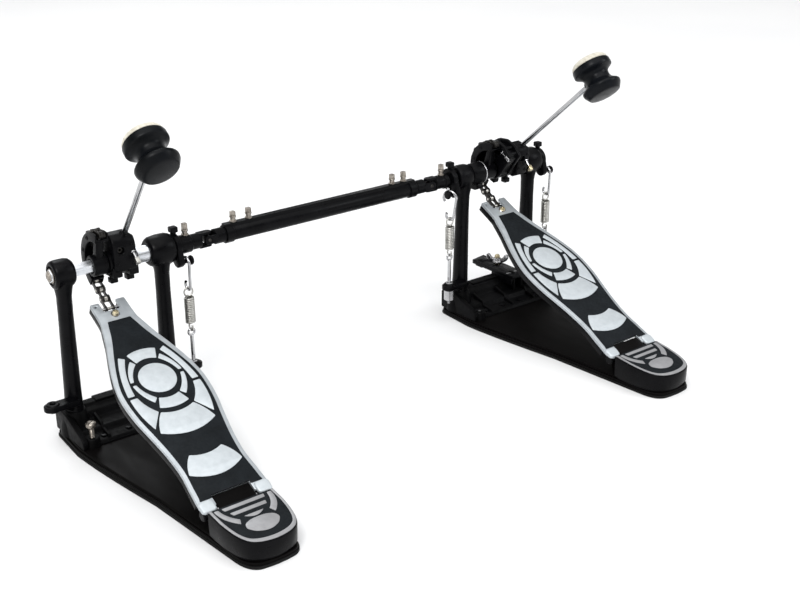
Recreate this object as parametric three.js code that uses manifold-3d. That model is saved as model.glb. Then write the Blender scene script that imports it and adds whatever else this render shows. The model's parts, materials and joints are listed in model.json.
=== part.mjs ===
// Twin bass drum pedal: a main pedal and a slave pedal joined by a telescopic drive shaft.
// Units are millimetres, +X runs from the slave pedal to the main pedal along both axles,
// +Y points at the drum, +Z is up, and the floor is z = 0.

import * as THREE from 'three'
import { mergeVertices } from 'three/addons/utils/BufferGeometryUtils.js'
import Module from 'manifold-3d'

const wasm = await Module()
wasm.setup()

// ---------------------------------------------------------------- driving dimensions
const PEDAL_SPACING = 562
const AXLE_HEIGHT = 197
const GAP = 0.3

const MAT_THICKNESS = 3
const PLATE_TOP = 9
const FRAME_TOP = 36
const POST_X = { left: -46, right: 73 }
const HOUSING_RADIUS = 17
const LUG = { bottom: 48.5, top: 55, y: -12, halfWidth: 8 }
const SPRING_X = { left: -74, right: 100 }

const HINGE = { y: -272, z: 30 }
const BOARD_ANGLE = THREE.MathUtils.degToRad(25.5)
const BOARD_TOP = 5
const BOARD_DEPTH = 15
const BOARD_LENGTH = 289
const BOARD_SKIN = 4
const BOARD_WALL = 2.4
const CLEVIS = { along: 281, up: 1 }
const TOE_SLOT = { halfWidth: 9.8, start: 275 }
const KNUCKLE = { inner: 21.6, outer: 39.5, radius: 6.3 }
const HINGE_BORE = 3.3
const HEEL_TOP = { front: 36, back: 32.5 }

const CHAIN_PITCH = 12.7
const CHAIN_RADIUS = 34
const FREE_LINKS = 3
const MOVING_LINKS = 3
const WRAPPED_LINKS = 4
const CAM_CENTRE_Y = -10
const HEX_RADIUS = 7.5
const SLEEVE_RADIUS = 9.5
const BEATER_OFFSET = 12
const BEATER_ROD_RADIUS = 3.2
const BEATER_ROD_LENGTH = 205
const HANGER = { y: -12, z: -16, radius: 2.6 }
const SPRING = { top: 146, coilTop: 137, coilBottom: 99, bottom: 91, radius: 6 }
const SET_SCREW = { halfWidth: 3.4, neck: 2.2 }

const TUBE = { start: 157, end: 436, radius: 9.5, bore: 7.6, ribTop: 12.5, ribHalf: 4 }
const DRIVE_ROD = { radius: 6.6, fixedOverlap: 45, slidingStart: 262 }
const UNIVERSAL_X = { slave: 134, main: 461 }

// The model stands with the middle of its bounding box over the origin.
const CENTRE_SHIFT = { x: -294, y: 138.6 }

// ---------------------------------------------------------------- materials
function finish(color, roughness, metalness) {
  return new THREE.MeshStandardMaterial({ color, roughness, metalness })
}
const satinBlack = () => finish(0x17181a, 0.45, 0.4)
const glossBlack = () => finish(0x101215, 0.25, 0.1)
const rubberBlack = () => finish(0x111111, 0.9, 0)
const chainBlack = () => finish(0x1c1b1a, 0.4, 0.8)
const brightSteel = () => finish(0xc9ced2, 0.22, 1)
const springSteel = () => finish(0xb9b4a8, 0.3, 1)
const boardMetal = () => finish(0xc6d0d6, 0.35, 0.9)
const creamFelt = () => finish(0xe9dfc8, 1, 0)

// ---------------------------------------------------------------- solids from geometries
function signedVolume(positions, triangles) {
  const [a, b, c] = [new THREE.Vector3(), new THREE.Vector3(), new THREE.Vector3()]
  let total = 0
  for (let t = 0; t < triangles.length; t += 3) {
    a.fromArray(positions, 3 * triangles[t])
    b.fromArray(positions, 3 * triangles[t + 1])
    c.fromArray(positions, 3 * triangles[t + 2])
    total += a.dot(b.cross(c)) / 6
  }
  return total
}

function solid(geometry) {
  const bare = geometry.clone()
  bare.deleteAttribute('normal')
  bare.deleteAttribute('uv')
  const merged = mergeVertices(bare, 1e-4)
  const positions = new Float32Array(merged.attributes.position.array)
  const source = merged.index.array
  const kept = []
  for (let t = 0; t < source.length; t += 3) {
    const [i, j, k] = [source[t], source[t + 1], source[t + 2]]
    if (i !== j && j !== k && k !== i) kept.push(i, j, k)
  }
  if (signedVolume(positions, kept) < 0) kept.reverse()
  const mesh = new wasm.Mesh({ numProp: 3, vertProperties: positions, triVerts: new Uint32Array(kept) })
  return new wasm.Manifold(mesh)
}

function union(...solids) {
  return solids.reduce((whole, next) => whole.add(next))
}

// Axes of a sketch drawn in the (Y, Z) plane and pushed out along X.
const SKETCH_YZ = new THREE.Matrix4().makeBasis(
  new THREE.Vector3(0, 1, 0), new THREE.Vector3(0, 0, 1), new THREE.Vector3(1, 0, 0))

function polygon(points) {
  return new THREE.Shape(points.map(([u, v]) => new THREE.Vector2(u, v)))
}

function extrude(shape, depth, curveSegments = 6) {
  return new THREE.ExtrudeGeometry(shape, { depth, bevelEnabled: false, curveSegments })
}

function prismX(shape, x0, x1, curveSegments) {
  return solid(extrude(shape, x1 - x0, curveSegments).applyMatrix4(SKETCH_YZ).translate(x0, 0, 0))
}

function prismZ(shape, z0, z1, curveSegments) {
  return solid(extrude(shape, z1 - z0, curveSegments).translate(0, 0, z0))
}

function boxSolid([x0, y0, z0], [x1, y1, z1]) {
  const box = new THREE.BoxGeometry(x1 - x0, y1 - y0, z1 - z0)
  return solid(box.translate((x0 + x1) / 2, (y0 + y1) / 2, (z0 + z1) / 2))
}

function rodX(radius, x0, x1, y = 0, z = 0, sides = 20) {
  const rod = new THREE.CylinderGeometry(radius, radius, x1 - x0, sides)
  return solid(rod.rotateZ(-Math.PI / 2).translate((x0 + x1) / 2, y, z))
}

function rodZ(radius, z0, z1, x = 0, y = 0, sides = 16) {
  const rod = new THREE.CylinderGeometry(radius, radius, z1 - z0, sides)
  return solid(rod.rotateX(Math.PI / 2).translate(x, y, (z0 + z1) / 2))
}

// A turned body about the X axis, from [x, radius] stations that start and end on the axis.
function turnedX(stations, sides = 24, y = 0, z = 0) {
  const profile = stations.map(([x, radius]) => new THREE.Vector2(radius, x))
  return solid(new THREE.LatheGeometry(profile, sides).rotateZ(-Math.PI / 2).translate(0, y, z))
}

function turnedZ(stations, sides = 16, x = 0, y = 0) {
  const profile = stations.map(([z, radius]) => new THREE.Vector2(radius, z))
  return solid(new THREE.LatheGeometry(profile, sides).rotateX(Math.PI / 2).translate(x, y, 0))
}

function piece(group, name, shape, material) {
  const mesh = shape.getMesh()
  const geometry = new THREE.BufferGeometry()
  geometry.setAttribute('position', new THREE.BufferAttribute(mesh.vertProperties, 3))
  geometry.setIndex(new THREE.BufferAttribute(mesh.triVerts, 1))
  const node = new THREE.Mesh(geometry, material)
  node.name = name
  group.add(node)
}

// ---------------------------------------------------------------- chain geometry at rest
// The free chain runs as a straight tangent from the clevis to the cam's pitch circle.
function boardPoint(along, up) {
  const [c, s] = [Math.cos(BOARD_ANGLE), Math.sin(BOARD_ANGLE)]
  return new THREE.Vector2(HINGE.y + along * c - up * s, HINGE.z + along * s + up * c)
}

const clevis = boardPoint(CLEVIS.along, CLEVIS.up)
const freeLength = FREE_LINKS * CHAIN_PITCH
const camReach = Math.hypot(CHAIN_RADIUS, freeLength)
const camCentre = new THREE.Vector2(
  CAM_CENTRE_Y, clevis.y + Math.sqrt(camReach ** 2 - (clevis.x - CAM_CENTRE_Y) ** 2))
const toCentre = camCentre.clone().sub(clevis)
const tangentTilt = Math.atan2(toCentre.x, toCentre.y) + Math.asin(CHAIN_RADIUS / camReach)
const strandWay = new THREE.Vector2(Math.sin(tangentTilt), Math.cos(tangentTilt))
const linkTurn = 2 * Math.asin(CHAIN_PITCH / (2 * CHAIN_RADIUS))

// Pin k on the pitch circle; pin 0 is where the chain leaves the cam, and k grows up the cam.
function camPin(k) {
  const angle = -tangentTilt + k * linkTurn
  return new THREE.Vector2(
    camCentre.x + CHAIN_RADIUS * Math.cos(angle), camCentre.y + CHAIN_RADIUS * Math.sin(angle))
}

// Pin k of the free strand, counted down from the cam to the clevis.
function strandPin(k) {
  return camPin(0).addScaledVector(strandWay, -k * CHAIN_PITCH)
}

const CHAIN = {
  rollerRadius: 3.9, rollerHalf: 2.3, boreRadius: 2.1, pinRadius: 1.75, pinHalf: 5.4,
  innerPlate: [2.2, 3.4], outerPlate: [3.7, 4.9], plateRadius: 4.2, clevisBore: 3.2,
}

function linkShape(from, to, radius) {
  const way = to.clone().sub(from)
  const angle = Math.atan2(way.y, way.x)
  const shape = new THREE.Shape()
  shape.absarc(from.x, from.y, radius, angle + Math.PI / 2, angle + 1.5 * Math.PI)
  shape.absarc(to.x, to.y, radius, angle - Math.PI / 2, angle + Math.PI / 2)
  return shape
}

// A link's two plates between two pins, one on each side of the chain.
function linkPlates(from, to, [inner, outer]) {
  const shape = linkShape(from, to, CHAIN.plateRadius)
  return [prismX(shape, inner, outer, 3), prismX(shape, -outer, -inner, 3)]
}

// A link that never moves against its neighbours is one block across the chain's width.
function linkBlock(from, to, half, radius = CHAIN.plateRadius) {
  return prismX(linkShape(from, to, radius), -half, half, 3)
}

function bores(pins, radius) {
  return union(...pins.map(pin => rodX(radius, -7, 7, pin.x, pin.y, 8)))
}

// An inner link carries two rollers, bored for the pins of its neighbours.
function innerLink(from, to) {
  const rollers = [from, to].map(
    pin => rodX(CHAIN.rollerRadius, -CHAIN.rollerHalf, CHAIN.rollerHalf, pin.x, pin.y, 8))
  return union(...linkPlates(from, to, CHAIN.innerPlate), ...rollers)
    .subtract(bores([from, to], CHAIN.boreRadius))
}

// An outer link is two plates held together by its two pins.
function outerLink(from, to) {
  const pins = [from, to].map(
    pin => rodX(CHAIN.pinRadius, -CHAIN.pinHalf, CHAIN.pinHalf, pin.x, pin.y, 8))
  return union(...linkPlates(from, to, CHAIN.outerPlate), ...pins)
}

// ---------------------------------------------------------------- base
// Outline of the base in plan: wide under the posts, narrow and round at the heel.
function baseOutline(grow) {
  const outline = new THREE.Shape()
  outline.moveTo(-60 - grow, 14)
  outline.lineTo(-63 - grow, -40)
  outline.quadraticCurveTo(-60 - grow, -90, -44 - grow, -185)
  outline.lineTo(-31 - grow, -316)
  outline.quadraticCurveTo(-27 - grow, -348 - grow, 0, -350 - grow)
  outline.quadraticCurveTo(27 + grow, -348 - grow, 31 + grow, -316)
  outline.lineTo(58 + grow, -185)
  outline.quadraticCurveTo(86 + grow, -90, 90 + grow, -40)
  outline.lineTo(87 + grow, 14)
  outline.quadraticCurveTo(86 + grow, 22 + grow, 78, 22 + grow)
  outline.lineTo(-51, 22 + grow)
  outline.quadraticCurveTo(-59 - grow, 22 + grow, -60 - grow, 14)
  return outline
}

const POST = { bottom: FRAME_TOP - 14, topRadius: 8.2, bottomRadius: 10, depthRatio: 1.25, y: -1 }

function postShaft(x, clearance) {
  const height = AXLE_HEIGHT - POST.bottom
  const [top, bottom] = [POST.topRadius + clearance, POST.bottomRadius + clearance]
  const shaft = new THREE.CylinderGeometry(top, bottom, height, 14)
  shaft.rotateX(Math.PI / 2).scale(1, POST.depthRatio, 1)
  return solid(shaft.translate(x, POST.y, POST.bottom - clearance + height / 2))
}

// The front casting: stepped ridges across the base with a wedge-shaped flange at each end.
function frameCasting() {
  const low = PLATE_TOP + GAP
  const ridges = polygon([[20, low], [20, 30], [15, FRAME_TOP], [4, FRAME_TOP], [-8, 30], [-10, 23],
    [-27, 21], [-30, 15], [-48, 13], [-50, low]])
  const wedge = polygon([[21, low], [21, 34], [8, FRAME_TOP + 2], [-44, 22], [-50, 16], [-50, low]])
  const casting = union(
    prismX(ridges, -55, 83), prismX(wedge, -60, -53), prismX(wedge, 81, 88))
  return casting.subtract(postShaft(POST_X.left, 0.4)).subtract(postShaft(POST_X.right, 0.4))
}

// A post with its bearing housing on top and the spring lug near its foot.
function post(side, housing, bore) {
  const x = POST_X[side]
  const out = side === 'left' ? -1 : 1
  const tip = SPRING_X[side] + out * 2
  const lug = new THREE.Shape()
  lug.moveTo(x, LUG.y - LUG.halfWidth)
  lug.absarc(tip, LUG.y, LUG.halfWidth, -Math.PI / 2, Math.PI / 2, side === 'left')
  lug.lineTo(x, LUG.y + LUG.halfWidth)
  const [x0, x1] = housing
  const dome = turnedX([[x0, 0], [x0, HOUSING_RADIUS - 3], [x0 + 3, HOUSING_RADIUS],
    [x1 - 8, HOUSING_RADIUS + 0.8], [x1 - 2.5, HOUSING_RADIUS - 1], [x1, HOUSING_RADIUS - 4], [x1, 0]],
  16, 0, AXLE_HEIGHT)
  const body = union(postShaft(x, 0), prismZ(lug, LUG.bottom, LUG.top, 5), dome)
  return body
    .subtract(rodX(bore, x0 - 5, x1 + 5, 0, AXLE_HEIGHT, 16))
    .subtract(rodZ(2.6, LUG.bottom - 2, LUG.top + 2, SPRING_X[side], LUG.y, 10))
}

// The heel plate: a D-shaped block that falls towards its back, with the hinge tongue in front.
// Every point of the tongue stays nearer to the hinge than the footboard's notch does.
function heelPlate() {
  const outline = new THREE.Shape()
  outline.moveTo(-36, -285)
  outline.lineTo(-30, -318)
  outline.quadraticCurveTo(-26, -345, 0, -347)
  outline.quadraticCurveTo(26, -345, 30, -318)
  outline.lineTo(36, -285)
  const low = PLATE_TOP + GAP
  const half = KNUCKLE.inner - 0.6
  const block = prismZ(outline, low, HEEL_TOP.front, 8)
  const slope = prismX(polygon([[-360, low], [-280, low], [-280, HEEL_TOP.front], [-285, HEEL_TOP.front],
    [-348, HEEL_TOP.back], [-360, HEEL_TOP.back]]), -45, 45)
  const tongue = prismX(polygon([[-286, low], [-262, low], [-258.6, 24], [-260.3, 39.2], [-276.5, 33.4],
    [-279, HEEL_TOP.front], [-286, HEEL_TOP.front]]), -half, half)
  return union(block.intersect(slope), tongue).subtract(rodX(HINGE_BORE, -40, 40, HINGE.y, HINGE.z, 16))
}

// ---------------------------------------------------------------- footboard
// Half width of the footboard against the distance from the heel hinge.
const BOARD_STATIONS = [[4, 39.3], [28, 38], [50, 36.4], [75, 38.3], [100, 42.3], [125, 46.8], [150, 48.6],
  [170, 47], [190, 42.3], [210, 36.1], [230, 29.2], [250, 23.6], [262, 20.9], [BOARD_LENGTH, 20.3]]

function boardOutline(inset) {
  const right = BOARD_STATIONS.map(([along, half]) => [half - inset, along])
  right[0][1] += inset
  right[right.length - 1][1] -= inset
  return polygon([...right, ...right.map(([half, along]) => [-half, along]).reverse()])
}

// A pair of boxes mirrored about the middle of the footboard.
function mirroredBoxes(inner, outer, [along0, up0], [along1, up1]) {
  return [boxSolid([inner, along0, up0], [outer, along1, up1]),
    boxSolid([-outer, along0, up0], [-inner, along1, up1])]
}

// The footboard is a shallow tray turned over, with a forked toe, a clevis pin and heel knuckles.
function footboard() {
  const bottom = BOARD_TOP - BOARD_DEPTH
  const far = 2 * BOARD_DEPTH
  const cheekOuter = TOE_SLOT.halfWidth + 3.7
  const plate = prismZ(boardOutline(0), bottom, BOARD_TOP)
  const hollow = prismZ(boardOutline(BOARD_WALL), bottom - 1, BOARD_TOP - BOARD_SKIN)
  const slot = boxSolid([-TOE_SLOT.halfWidth, TOE_SLOT.start, -far],
    [TOE_SLOT.halfWidth, BOARD_LENGTH + 5, far])
  const toeCut = boxSolid([-17, BOARD_LENGTH - 4, -far], [17, BOARD_LENGTH + 5, BOARD_TOP - BOARD_SKIN])
  const cheeks = mirroredBoxes(
    TOE_SLOT.halfWidth, cheekOuter, [CLEVIS.along - 8, -4], [CLEVIS.along + 4, BOARD_TOP - 2])
  const chainPin = rodX(1.7, -cheekOuter, cheekOuter, CLEVIS.along, CLEVIS.up, 12)
  const barrels = [-1, 1].map(side => {
    const [x0, x1] = [side * KNUCKLE.inner, side * KNUCKLE.outer].sort((p, q) => p - q)
    return rodX(KNUCKLE.radius, x0, x1, 0, -1, 16)
  })
  const arms = mirroredBoxes(KNUCKLE.inner, KNUCKLE.outer, [0, BOARD_TOP - 8], [12, BOARD_TOP])
  const notch = boxSolid([-KNUCKLE.inner, -12, -far], [KNUCKLE.inner, 15.5, far])
  return union(plate.subtract(hollow), ...barrels, ...arms, ...cheeks)
    .subtract(slot)
    .subtract(toeCut)
    .subtract(notch)
    .add(chainPin)
    .subtract(rodX(HINGE_BORE, -45, 45, 0, 0, 16))
}

// ---------------------------------------------------------------- rotating parts on an axle
// A square-headed set screw standing on the collar at the top.
function squareScrew(x, base) {
  const head = boxSolid([x - SET_SCREW.halfWidth, -SET_SCREW.halfWidth, base + 3],
    [x + SET_SCREW.halfWidth, SET_SCREW.halfWidth, base + 9])
  return union(head, rodZ(SET_SCREW.neck, base - 3, base + 4, x, 0, 8))
}

// The spring collar clamps on the axle and carries the hanger pin below and behind it.
function springCollar(side, bore) {
  const out = side === 'left' ? -1 : 1
  const near = side === 'left' ? -61 : 89
  const place = (a, b) => [near + out * a, near + out * b].sort((p, q) => p - q)
  const ring = rodX(14.5, ...place(0, 7), 0, 0, 18)
  const lobe = rodX(6.5, ...place(0, 7), HANGER.y, HANGER.z, 10)
  const web = prismX(polygon([[-14, 0], [2, -14], [-6, -20], [-18, -14]]), ...place(0, 7))
  const pin = rodX(HANGER.radius, ...place(6, 16), HANGER.y, HANGER.z, 10)
  const knob = rodX(4.6, ...place(15.5, 19), HANGER.y, HANGER.z, 10)
  const screwX = near + out * 3.5
  return union(ring, lobe, web, pin, knob, squareScrew(screwX, 14))
    .subtract(rodX(bore + GAP, ...place(-2, 9), 0, 0, 16))
}

// The cam: a chain channel on an eccentric arch, spoked to a boss on the axle.
function cam() {
  const [y, z] = [camCentre.x, camCentre.y - AXLE_HEIGHT]
  const start = -tangentTilt - 0.12
  const stop = start + (MOVING_LINKS + WRAPPED_LINKS + 0.5) * linkTurn
  const FLOOR = CHAIN_RADIUS - CHAIN.plateRadius - 1.2
  const sector = (inner, outer, x0, x1) => {
    const shape = new THREE.Shape()
    shape.absarc(y, z, outer, start, stop, false)
    shape.absarc(y, z, inner, stop, start, true)
    return prismX(shape, x0, x1, 8)
  }
  const rim = FLOOR - 8
  const spokes = [start + 0.3, stop - 0.35].map(angle => {
    const [c, s] = [Math.cos(angle), Math.sin(angle)]
    const [u, v] = [y + (rim + 4) * c, z + (rim + 4) * s]
    const spoke = [[-7 * s, 7 * c], [u - 6 * s, v + 6 * c], [u + 6 * s, v - 6 * c], [7 * s, -7 * c]]
    return prismX(polygon(spoke), -6.5, 6.5)
  })
  const boss = rodX(13.5, -8.5, 8.5, 0, 0, 16)
  return union(sector(rim, FLOOR, -8.5, 8.5), sector(rim, CHAIN_RADIUS + 4, 6.4, 8.5),
    sector(rim, CHAIN_RADIUS + 4, -8.5, -6.4), ...spokes, boss)
    .subtract(rodX(HEX_RADIUS + GAP, -10, 10, 0, 0, 12))
}

// The rod's own frame: it leans back by the angle and passes in front of the axle.
function rodFrame(x, lean) {
  const back = THREE.MathUtils.degToRad(lean)
  return new THREE.Matrix4()
    .makeTranslation(x, 0, 0)
    .multiply(new THREE.Matrix4().makeRotationX(back))
    .multiply(new THREE.Matrix4().makeTranslation(0, BEATER_OFFSET, 0))
}

function placed(geometry, frame) {
  return solid(geometry.clone().applyMatrix4(frame))
}

// The beater block grips the rod between a chamfered body and two set screws.
function beaterBlock(x0, x1, rodX0, lean, wide) {
  const frame = rodFrame(rodX0, lean)
  const half = (x1 - x0) / 2
  const chamfer = polygon([[-half + 3, -26], [half - 3, -26], [half, -22], [half, 20], [half - 5, 27],
    [-half + 5, 27], [-half, 20], [-half, -22]])
  const clamp = new THREE.ExtrudeGeometry(chamfer, { depth: 24, bevelEnabled: false })
  clamp.rotateX(Math.PI / 2)
  clamp.translate((x0 + x1) / 2 - rodX0, 9, 14)
  const rise = placed(clamp, frame)
  const boss = rodX(15, x0, x1, 0, 0, 18)
  const bore = new THREE.CylinderGeometry(BEATER_ROD_RADIUS + GAP, BEATER_ROD_RADIUS + GAP, 160, 12)
  bore.rotateX(Math.PI / 2)
  const screwHead = new THREE.BoxGeometry(6.6, 6, 6.6).translate((x0 + x1) / 2 - rodX0, -31, -6)
  const screwNeck = new THREE.CylinderGeometry(2.2, 2.2, 8, 10).translate((x0 + x1) / 2 - rodX0, -25, -6)
  let body = union(rise, boss, placed(screwHead, frame), placed(screwNeck, frame))
  if (wide) {
    const drum = new THREE.Shape()
    drum.absarc(-4, 4, 36, -0.5, 2.6, false)
    drum.lineTo(-12, -4)
    drum.lineTo(10, -12)
    body = union(body, prismX(drum, wide[0], wide[1], 14), rodX(13.5, wide[0], x0 + 1, 0, 0, 18))
  }
  return body.subtract(placed(bore, frame)).subtract(rodX(HEX_RADIUS + GAP, -20, 120, 0, 0, 12))
}

const HEAD_PROFILE = [[-24, 0], [-24, 17], [-22, 21.5], [-13, 24.5], [-9, 23.5], [-5, 16.5], [5, 16.5],
  [9, 23.5], [13, 24.5], [17, 24], [19, 21.5], [19, 0]]
const FELT_PROFILE = [[19.3, 0], [19.3, 20], [23, 20], [26, 16], [27, 8], [27.2, 0]]

function beater(group, name, x, lean, headReach) {
  const frame = rodFrame(x, lean)
  const rod = new THREE.CylinderGeometry(BEATER_ROD_RADIUS, BEATER_ROD_RADIUS, BEATER_ROD_LENGTH, 12)
  rod.rotateX(Math.PI / 2).translate(0, 0, headReach + 8 - BEATER_ROD_LENGTH / 2)
  const socket = new THREE.CylinderGeometry(BEATER_ROD_RADIUS + GAP, BEATER_ROD_RADIUS + GAP, 40, 12)
  socket.rotateX(Math.PI / 2).translate(0, 0, headReach + 8.5 - 20)
  const turned = profile => new THREE.LatheGeometry(profile.map(([a, r]) => new THREE.Vector2(r, a)), 20)
    .translate(0, 0, headReach)
  piece(group, `${name}_beater_rod`, placed(rod, frame), brightSteel())
  piece(group, `${name}_beater_head`, placed(turned(HEAD_PROFILE), frame).subtract(placed(socket, frame)),
    glossBlack())
  piece(group, `${name}_beater_felt`, placed(turned(FELT_PROFILE), frame), creamFelt())
}

// ---------------------------------------------------------------- return springs
function springSet(group, name, side) {
  const x = SPRING_X[side]
  const pin = { y: HANGER.y, z: AXLE_HEIGHT + HANGER.z }
  const HOOK = { wire: 1.2, bend: 5.2, loop: 3.4, loopZ: 151 }
  const path = new THREE.CurvePath()
  const route = []
  for (let k = 0; k <= 8; k++) {
    const angle = Math.PI - 0.35 - (k * (Math.PI - 0.1)) / 8
    const [y, z] = [pin.y + HOOK.bend * Math.cos(angle), pin.z + HOOK.bend * Math.sin(angle)]
    route.push(new THREE.Vector3(x, y, z))
  }
  for (let k = 0; k <= 8; k++) {
    const angle = 0.3 - (k * 1.25 * Math.PI) / 8
    const [y, z] = [pin.y + HOOK.loop * Math.cos(angle), HOOK.loopZ + HOOK.loop * Math.sin(angle)]
    route.push(new THREE.Vector3(x, y, z))
  }
  path.add(new THREE.CatmullRomCurve3(route))
  const round = new THREE.Shape().absarc(0, 0, HOOK.wire, 0, 2 * Math.PI)
  const hook = new THREE.ExtrudeGeometry(round,
    { steps: 18, extrudePath: path, curveSegments: 3, bevelEnabled: false })
  piece(group, `${name}_spring_hook_${side}`, solid(hook), brightSteel())
  piece(group, `${name}_spring_${side}`, turnedZ([[SPRING.bottom, 0], [SPRING.bottom, 1.2],
    [SPRING.coilBottom, 1.2], [SPRING.coilBottom, SPRING.radius], [SPRING.coilTop, SPRING.radius],
    [SPRING.coilTop, 1.2], [SPRING.top, 1.2], [SPRING.top, 0]], 12, x, HANGER.y), springSteel())
  const nut = { bottom: 33, top: LUG.bottom - 0.7, radius: 5 }
  piece(group, `${name}_spring_rod_${side}`, turnedZ([[nut.bottom - 5, 0], [nut.bottom - 5, 2],
    [nut.bottom, 2], [nut.bottom, nut.radius], [nut.top, nut.radius], [nut.top, 2],
    [84, 2], [86, 3.4], [90, 3.4], [90.6, 0]], 10, x, LUG.y), brightSteel())
}

// ---------------------------------------------------------------- one pedal
function chain(group, name) {
  const first = MOVING_LINKS
  const wrapped = []
  for (let k = first; k < first + WRAPPED_LINKS; k++) {
    const half = k % 2 === 1 ? CHAIN.outerPlate[1] : CHAIN.innerPlate[1]
    wrapped.push(linkBlock(camPin(k), camPin(k + 1), half))
  }
  const swing = linkBlock(camPin(first - 1), camPin(first), CHAIN.outerPlate[0], CHAIN.plateRadius + 0.5)
  piece(group, `${name}_chain_wrap`, wrapped[0].subtract(swing)
    .add(union(...wrapped.slice(1)))
    .add(outerLink(camPin(first), camPin(first + 1))), chainBlack())
  for (let k = MOVING_LINKS; k > 0; k--) {
    const pins = [camPin(k - 1), camPin(k)]
    const link = k % 2 === 1 ? innerLink(...pins) : outerLink(...pins)
    piece(group, `${name}_chain_link_${k}`, link, chainBlack())
  }
  const ends = [0, 1, 2, 3].map(strandPin)
  const end = ends[FREE_LINKS]
  const strand = union(outerLink(ends[0], ends[1]), linkBlock(ends[1], ends[2], CHAIN.innerPlate[1]),
    linkBlock(ends[2], end, CHAIN.outerPlate[1]))
  piece(group, `${name}_chain_strand`, strand.subtract(bores([end], CHAIN.clevisBore)), chainBlack())
}

function pedal(name, options) {
  const group = new THREE.Group()
  piece(group, `${name}_floor_mat`, prismZ(baseOutline(1.2), 0, MAT_THICKNESS - GAP, 5), rubberBlack())
  piece(group, `${name}_base_plate`, prismZ(baseOutline(0), MAT_THICKNESS, PLATE_TOP, 5), satinBlack())
  piece(group, `${name}_frame`, options.frame, satinBlack())
  piece(group, `${name}_post_left`, post('left', [-59.5, -33], HEX_RADIUS + 0.6), satinBlack())
  piece(group, `${name}_post_right`, post('right', [58.5, 88], SLEEVE_RADIUS + 0.6), satinBlack())
  piece(group, `${name}_heel_plate`, heelPlate(), satinBlack())
  piece(group, `${name}_hinge_pin`, rodX(2.9, -39, 39, HINGE.y, HINGE.z, 16), brightSteel())

  const board = new THREE.Group()
  board.position.set(0, HINGE.y, HINGE.z)
  board.rotation.x = BOARD_ANGLE
  piece(board, `${name}_footboard`, footboard(), boardMetal())
  group.add(board)

  const axle = new THREE.Group()
  axle.position.z = AXLE_HEIGHT
  piece(axle, `${name}_axle`, options.axle, brightSteel())
  piece(axle, `${name}_cam`, cam(), satinBlack())
  piece(axle, `${name}_hub`, options.hub, satinBlack())
  piece(axle, `${name}_spring_collar_right`, springCollar('right', SLEEVE_RADIUS), satinBlack())
  beater(axle, name, options.beater.x, options.beater.lean, options.beater.reach)
  group.add(axle)

  chain(group, name)
  springSet(group, name, 'right')
  return { group, axle }
}

function hexX(radius, x0, x1) {
  return rodX(radius, x0, x1, 0, 0, 6)
}

// ---------------------------------------------------------------- slave pedal
const SLAVE_BEATER = { x: 29.3, lean: 37.8, reach: 166 }
const slaveAxle = union(hexX(HEX_RADIUS, -61, 44), rodX(SLEEVE_RADIUS, 43, 100, 0, 0, 24),
  rodX(5.6, 99, 119, 0, 0, 16), rodX(5.2, -64, -60, 0, 0, 12))
const slave = pedal('slave', {
  frame: frameCasting(),
  axle: slaveAxle,
  hub: beaterBlock(9.2, 41, SLAVE_BEATER.x, SLAVE_BEATER.lean),
  beater: SLAVE_BEATER,
})

// ---------------------------------------------------------------- main pedal
const MAIN_BEATER = { x: 48, lean: 49, reach: 203 }
const CLAMP = { x: 45, halfWidth: 17, pivotY: -14, pivotZ: 44, screwY: 24, front: 74 }

// The casting of the main pedal carries the fixed lower jaw, the stud and the pivot ears of the clamp.
function mainFrame() {
  const { x, halfWidth, pivotY, pivotZ } = CLAMP
  const jaw = boxSolid([x - halfWidth, 14, PLATE_TOP + GAP], [x + halfWidth, 66, 19])
  const ears = [-1, 1].map(side => {
    const near = x + side * (halfWidth - 6.6)
    const far = near + side * -4
    return prismX(polygon([[pivotY - 7, 20], [pivotY + 9, 26], [pivotY + 5, pivotZ + 4],
      [pivotY - 5, pivotZ + 4]]), Math.min(near, far), Math.max(near, far))
  })
  return union(frameCasting(), jaw, ...ears)
    .subtract(rodX(2.8, x - 30, x + 12, pivotY, pivotZ, 14))
    .add(rodZ(3, 17, CLAMP.pivotZ + 15, x, CLAMP.screwY, 14))
}

const mainAxle = union(hexX(HEX_RADIUS, -7, 60), rodX(SLEEVE_RADIUS, 59, 100, 0, 0, 24),
  rodX(4.8, -20, -6, 0, 0, 16))
const main = pedal('main', {
  frame: mainFrame(),
  axle: mainAxle,
  hub: beaterBlock(38.5, 57.5, MAIN_BEATER.x, MAIN_BEATER.lean, [9.2, 30]),
  beater: MAIN_BEATER,
})
springSet(main.group, 'main', 'left')

// The hoop clamp: a rocking upper jaw pressed down by a wing nut on a fixed stud.
function clampJaw() {
  const { x, halfWidth, pivotY, pivotZ, screwY, front } = CLAMP
  const [left, right] = [x - halfWidth, x + halfWidth]
  const plan = polygon([[left, pivotY - 12], [right, pivotY - 12], [right, front - 12],
    [right - 16, front], [left + 6, front], [left, front - 5]])
  const earRoom = [-1, 1].map(side => {
    const near = x + side * (halfWidth - 6.2)
    const far = near + side * -4.8
    return boxSolid([Math.min(near, far), pivotY - 13, 20], [Math.max(near, far), pivotY + 12, 70])
  })
  const plate = prismZ(plan, pivotZ - 4, pivotZ + 2)
  const lip = boxSolid([left, front - 22, pivotZ - 12], [right, front - 14, pivotZ - 3])
  const crossPin = rodX(2.5, left + 0.5, right - 0.5, pivotY, pivotZ, 14)
  const slot = boxSolid([x - 4, screwY - 6, 20], [x + 4, screwY + 6, 70])
  return union(union(plate, lip).subtract(earRoom[0]).subtract(earRoom[1]), crossPin).subtract(slot)
}

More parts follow.
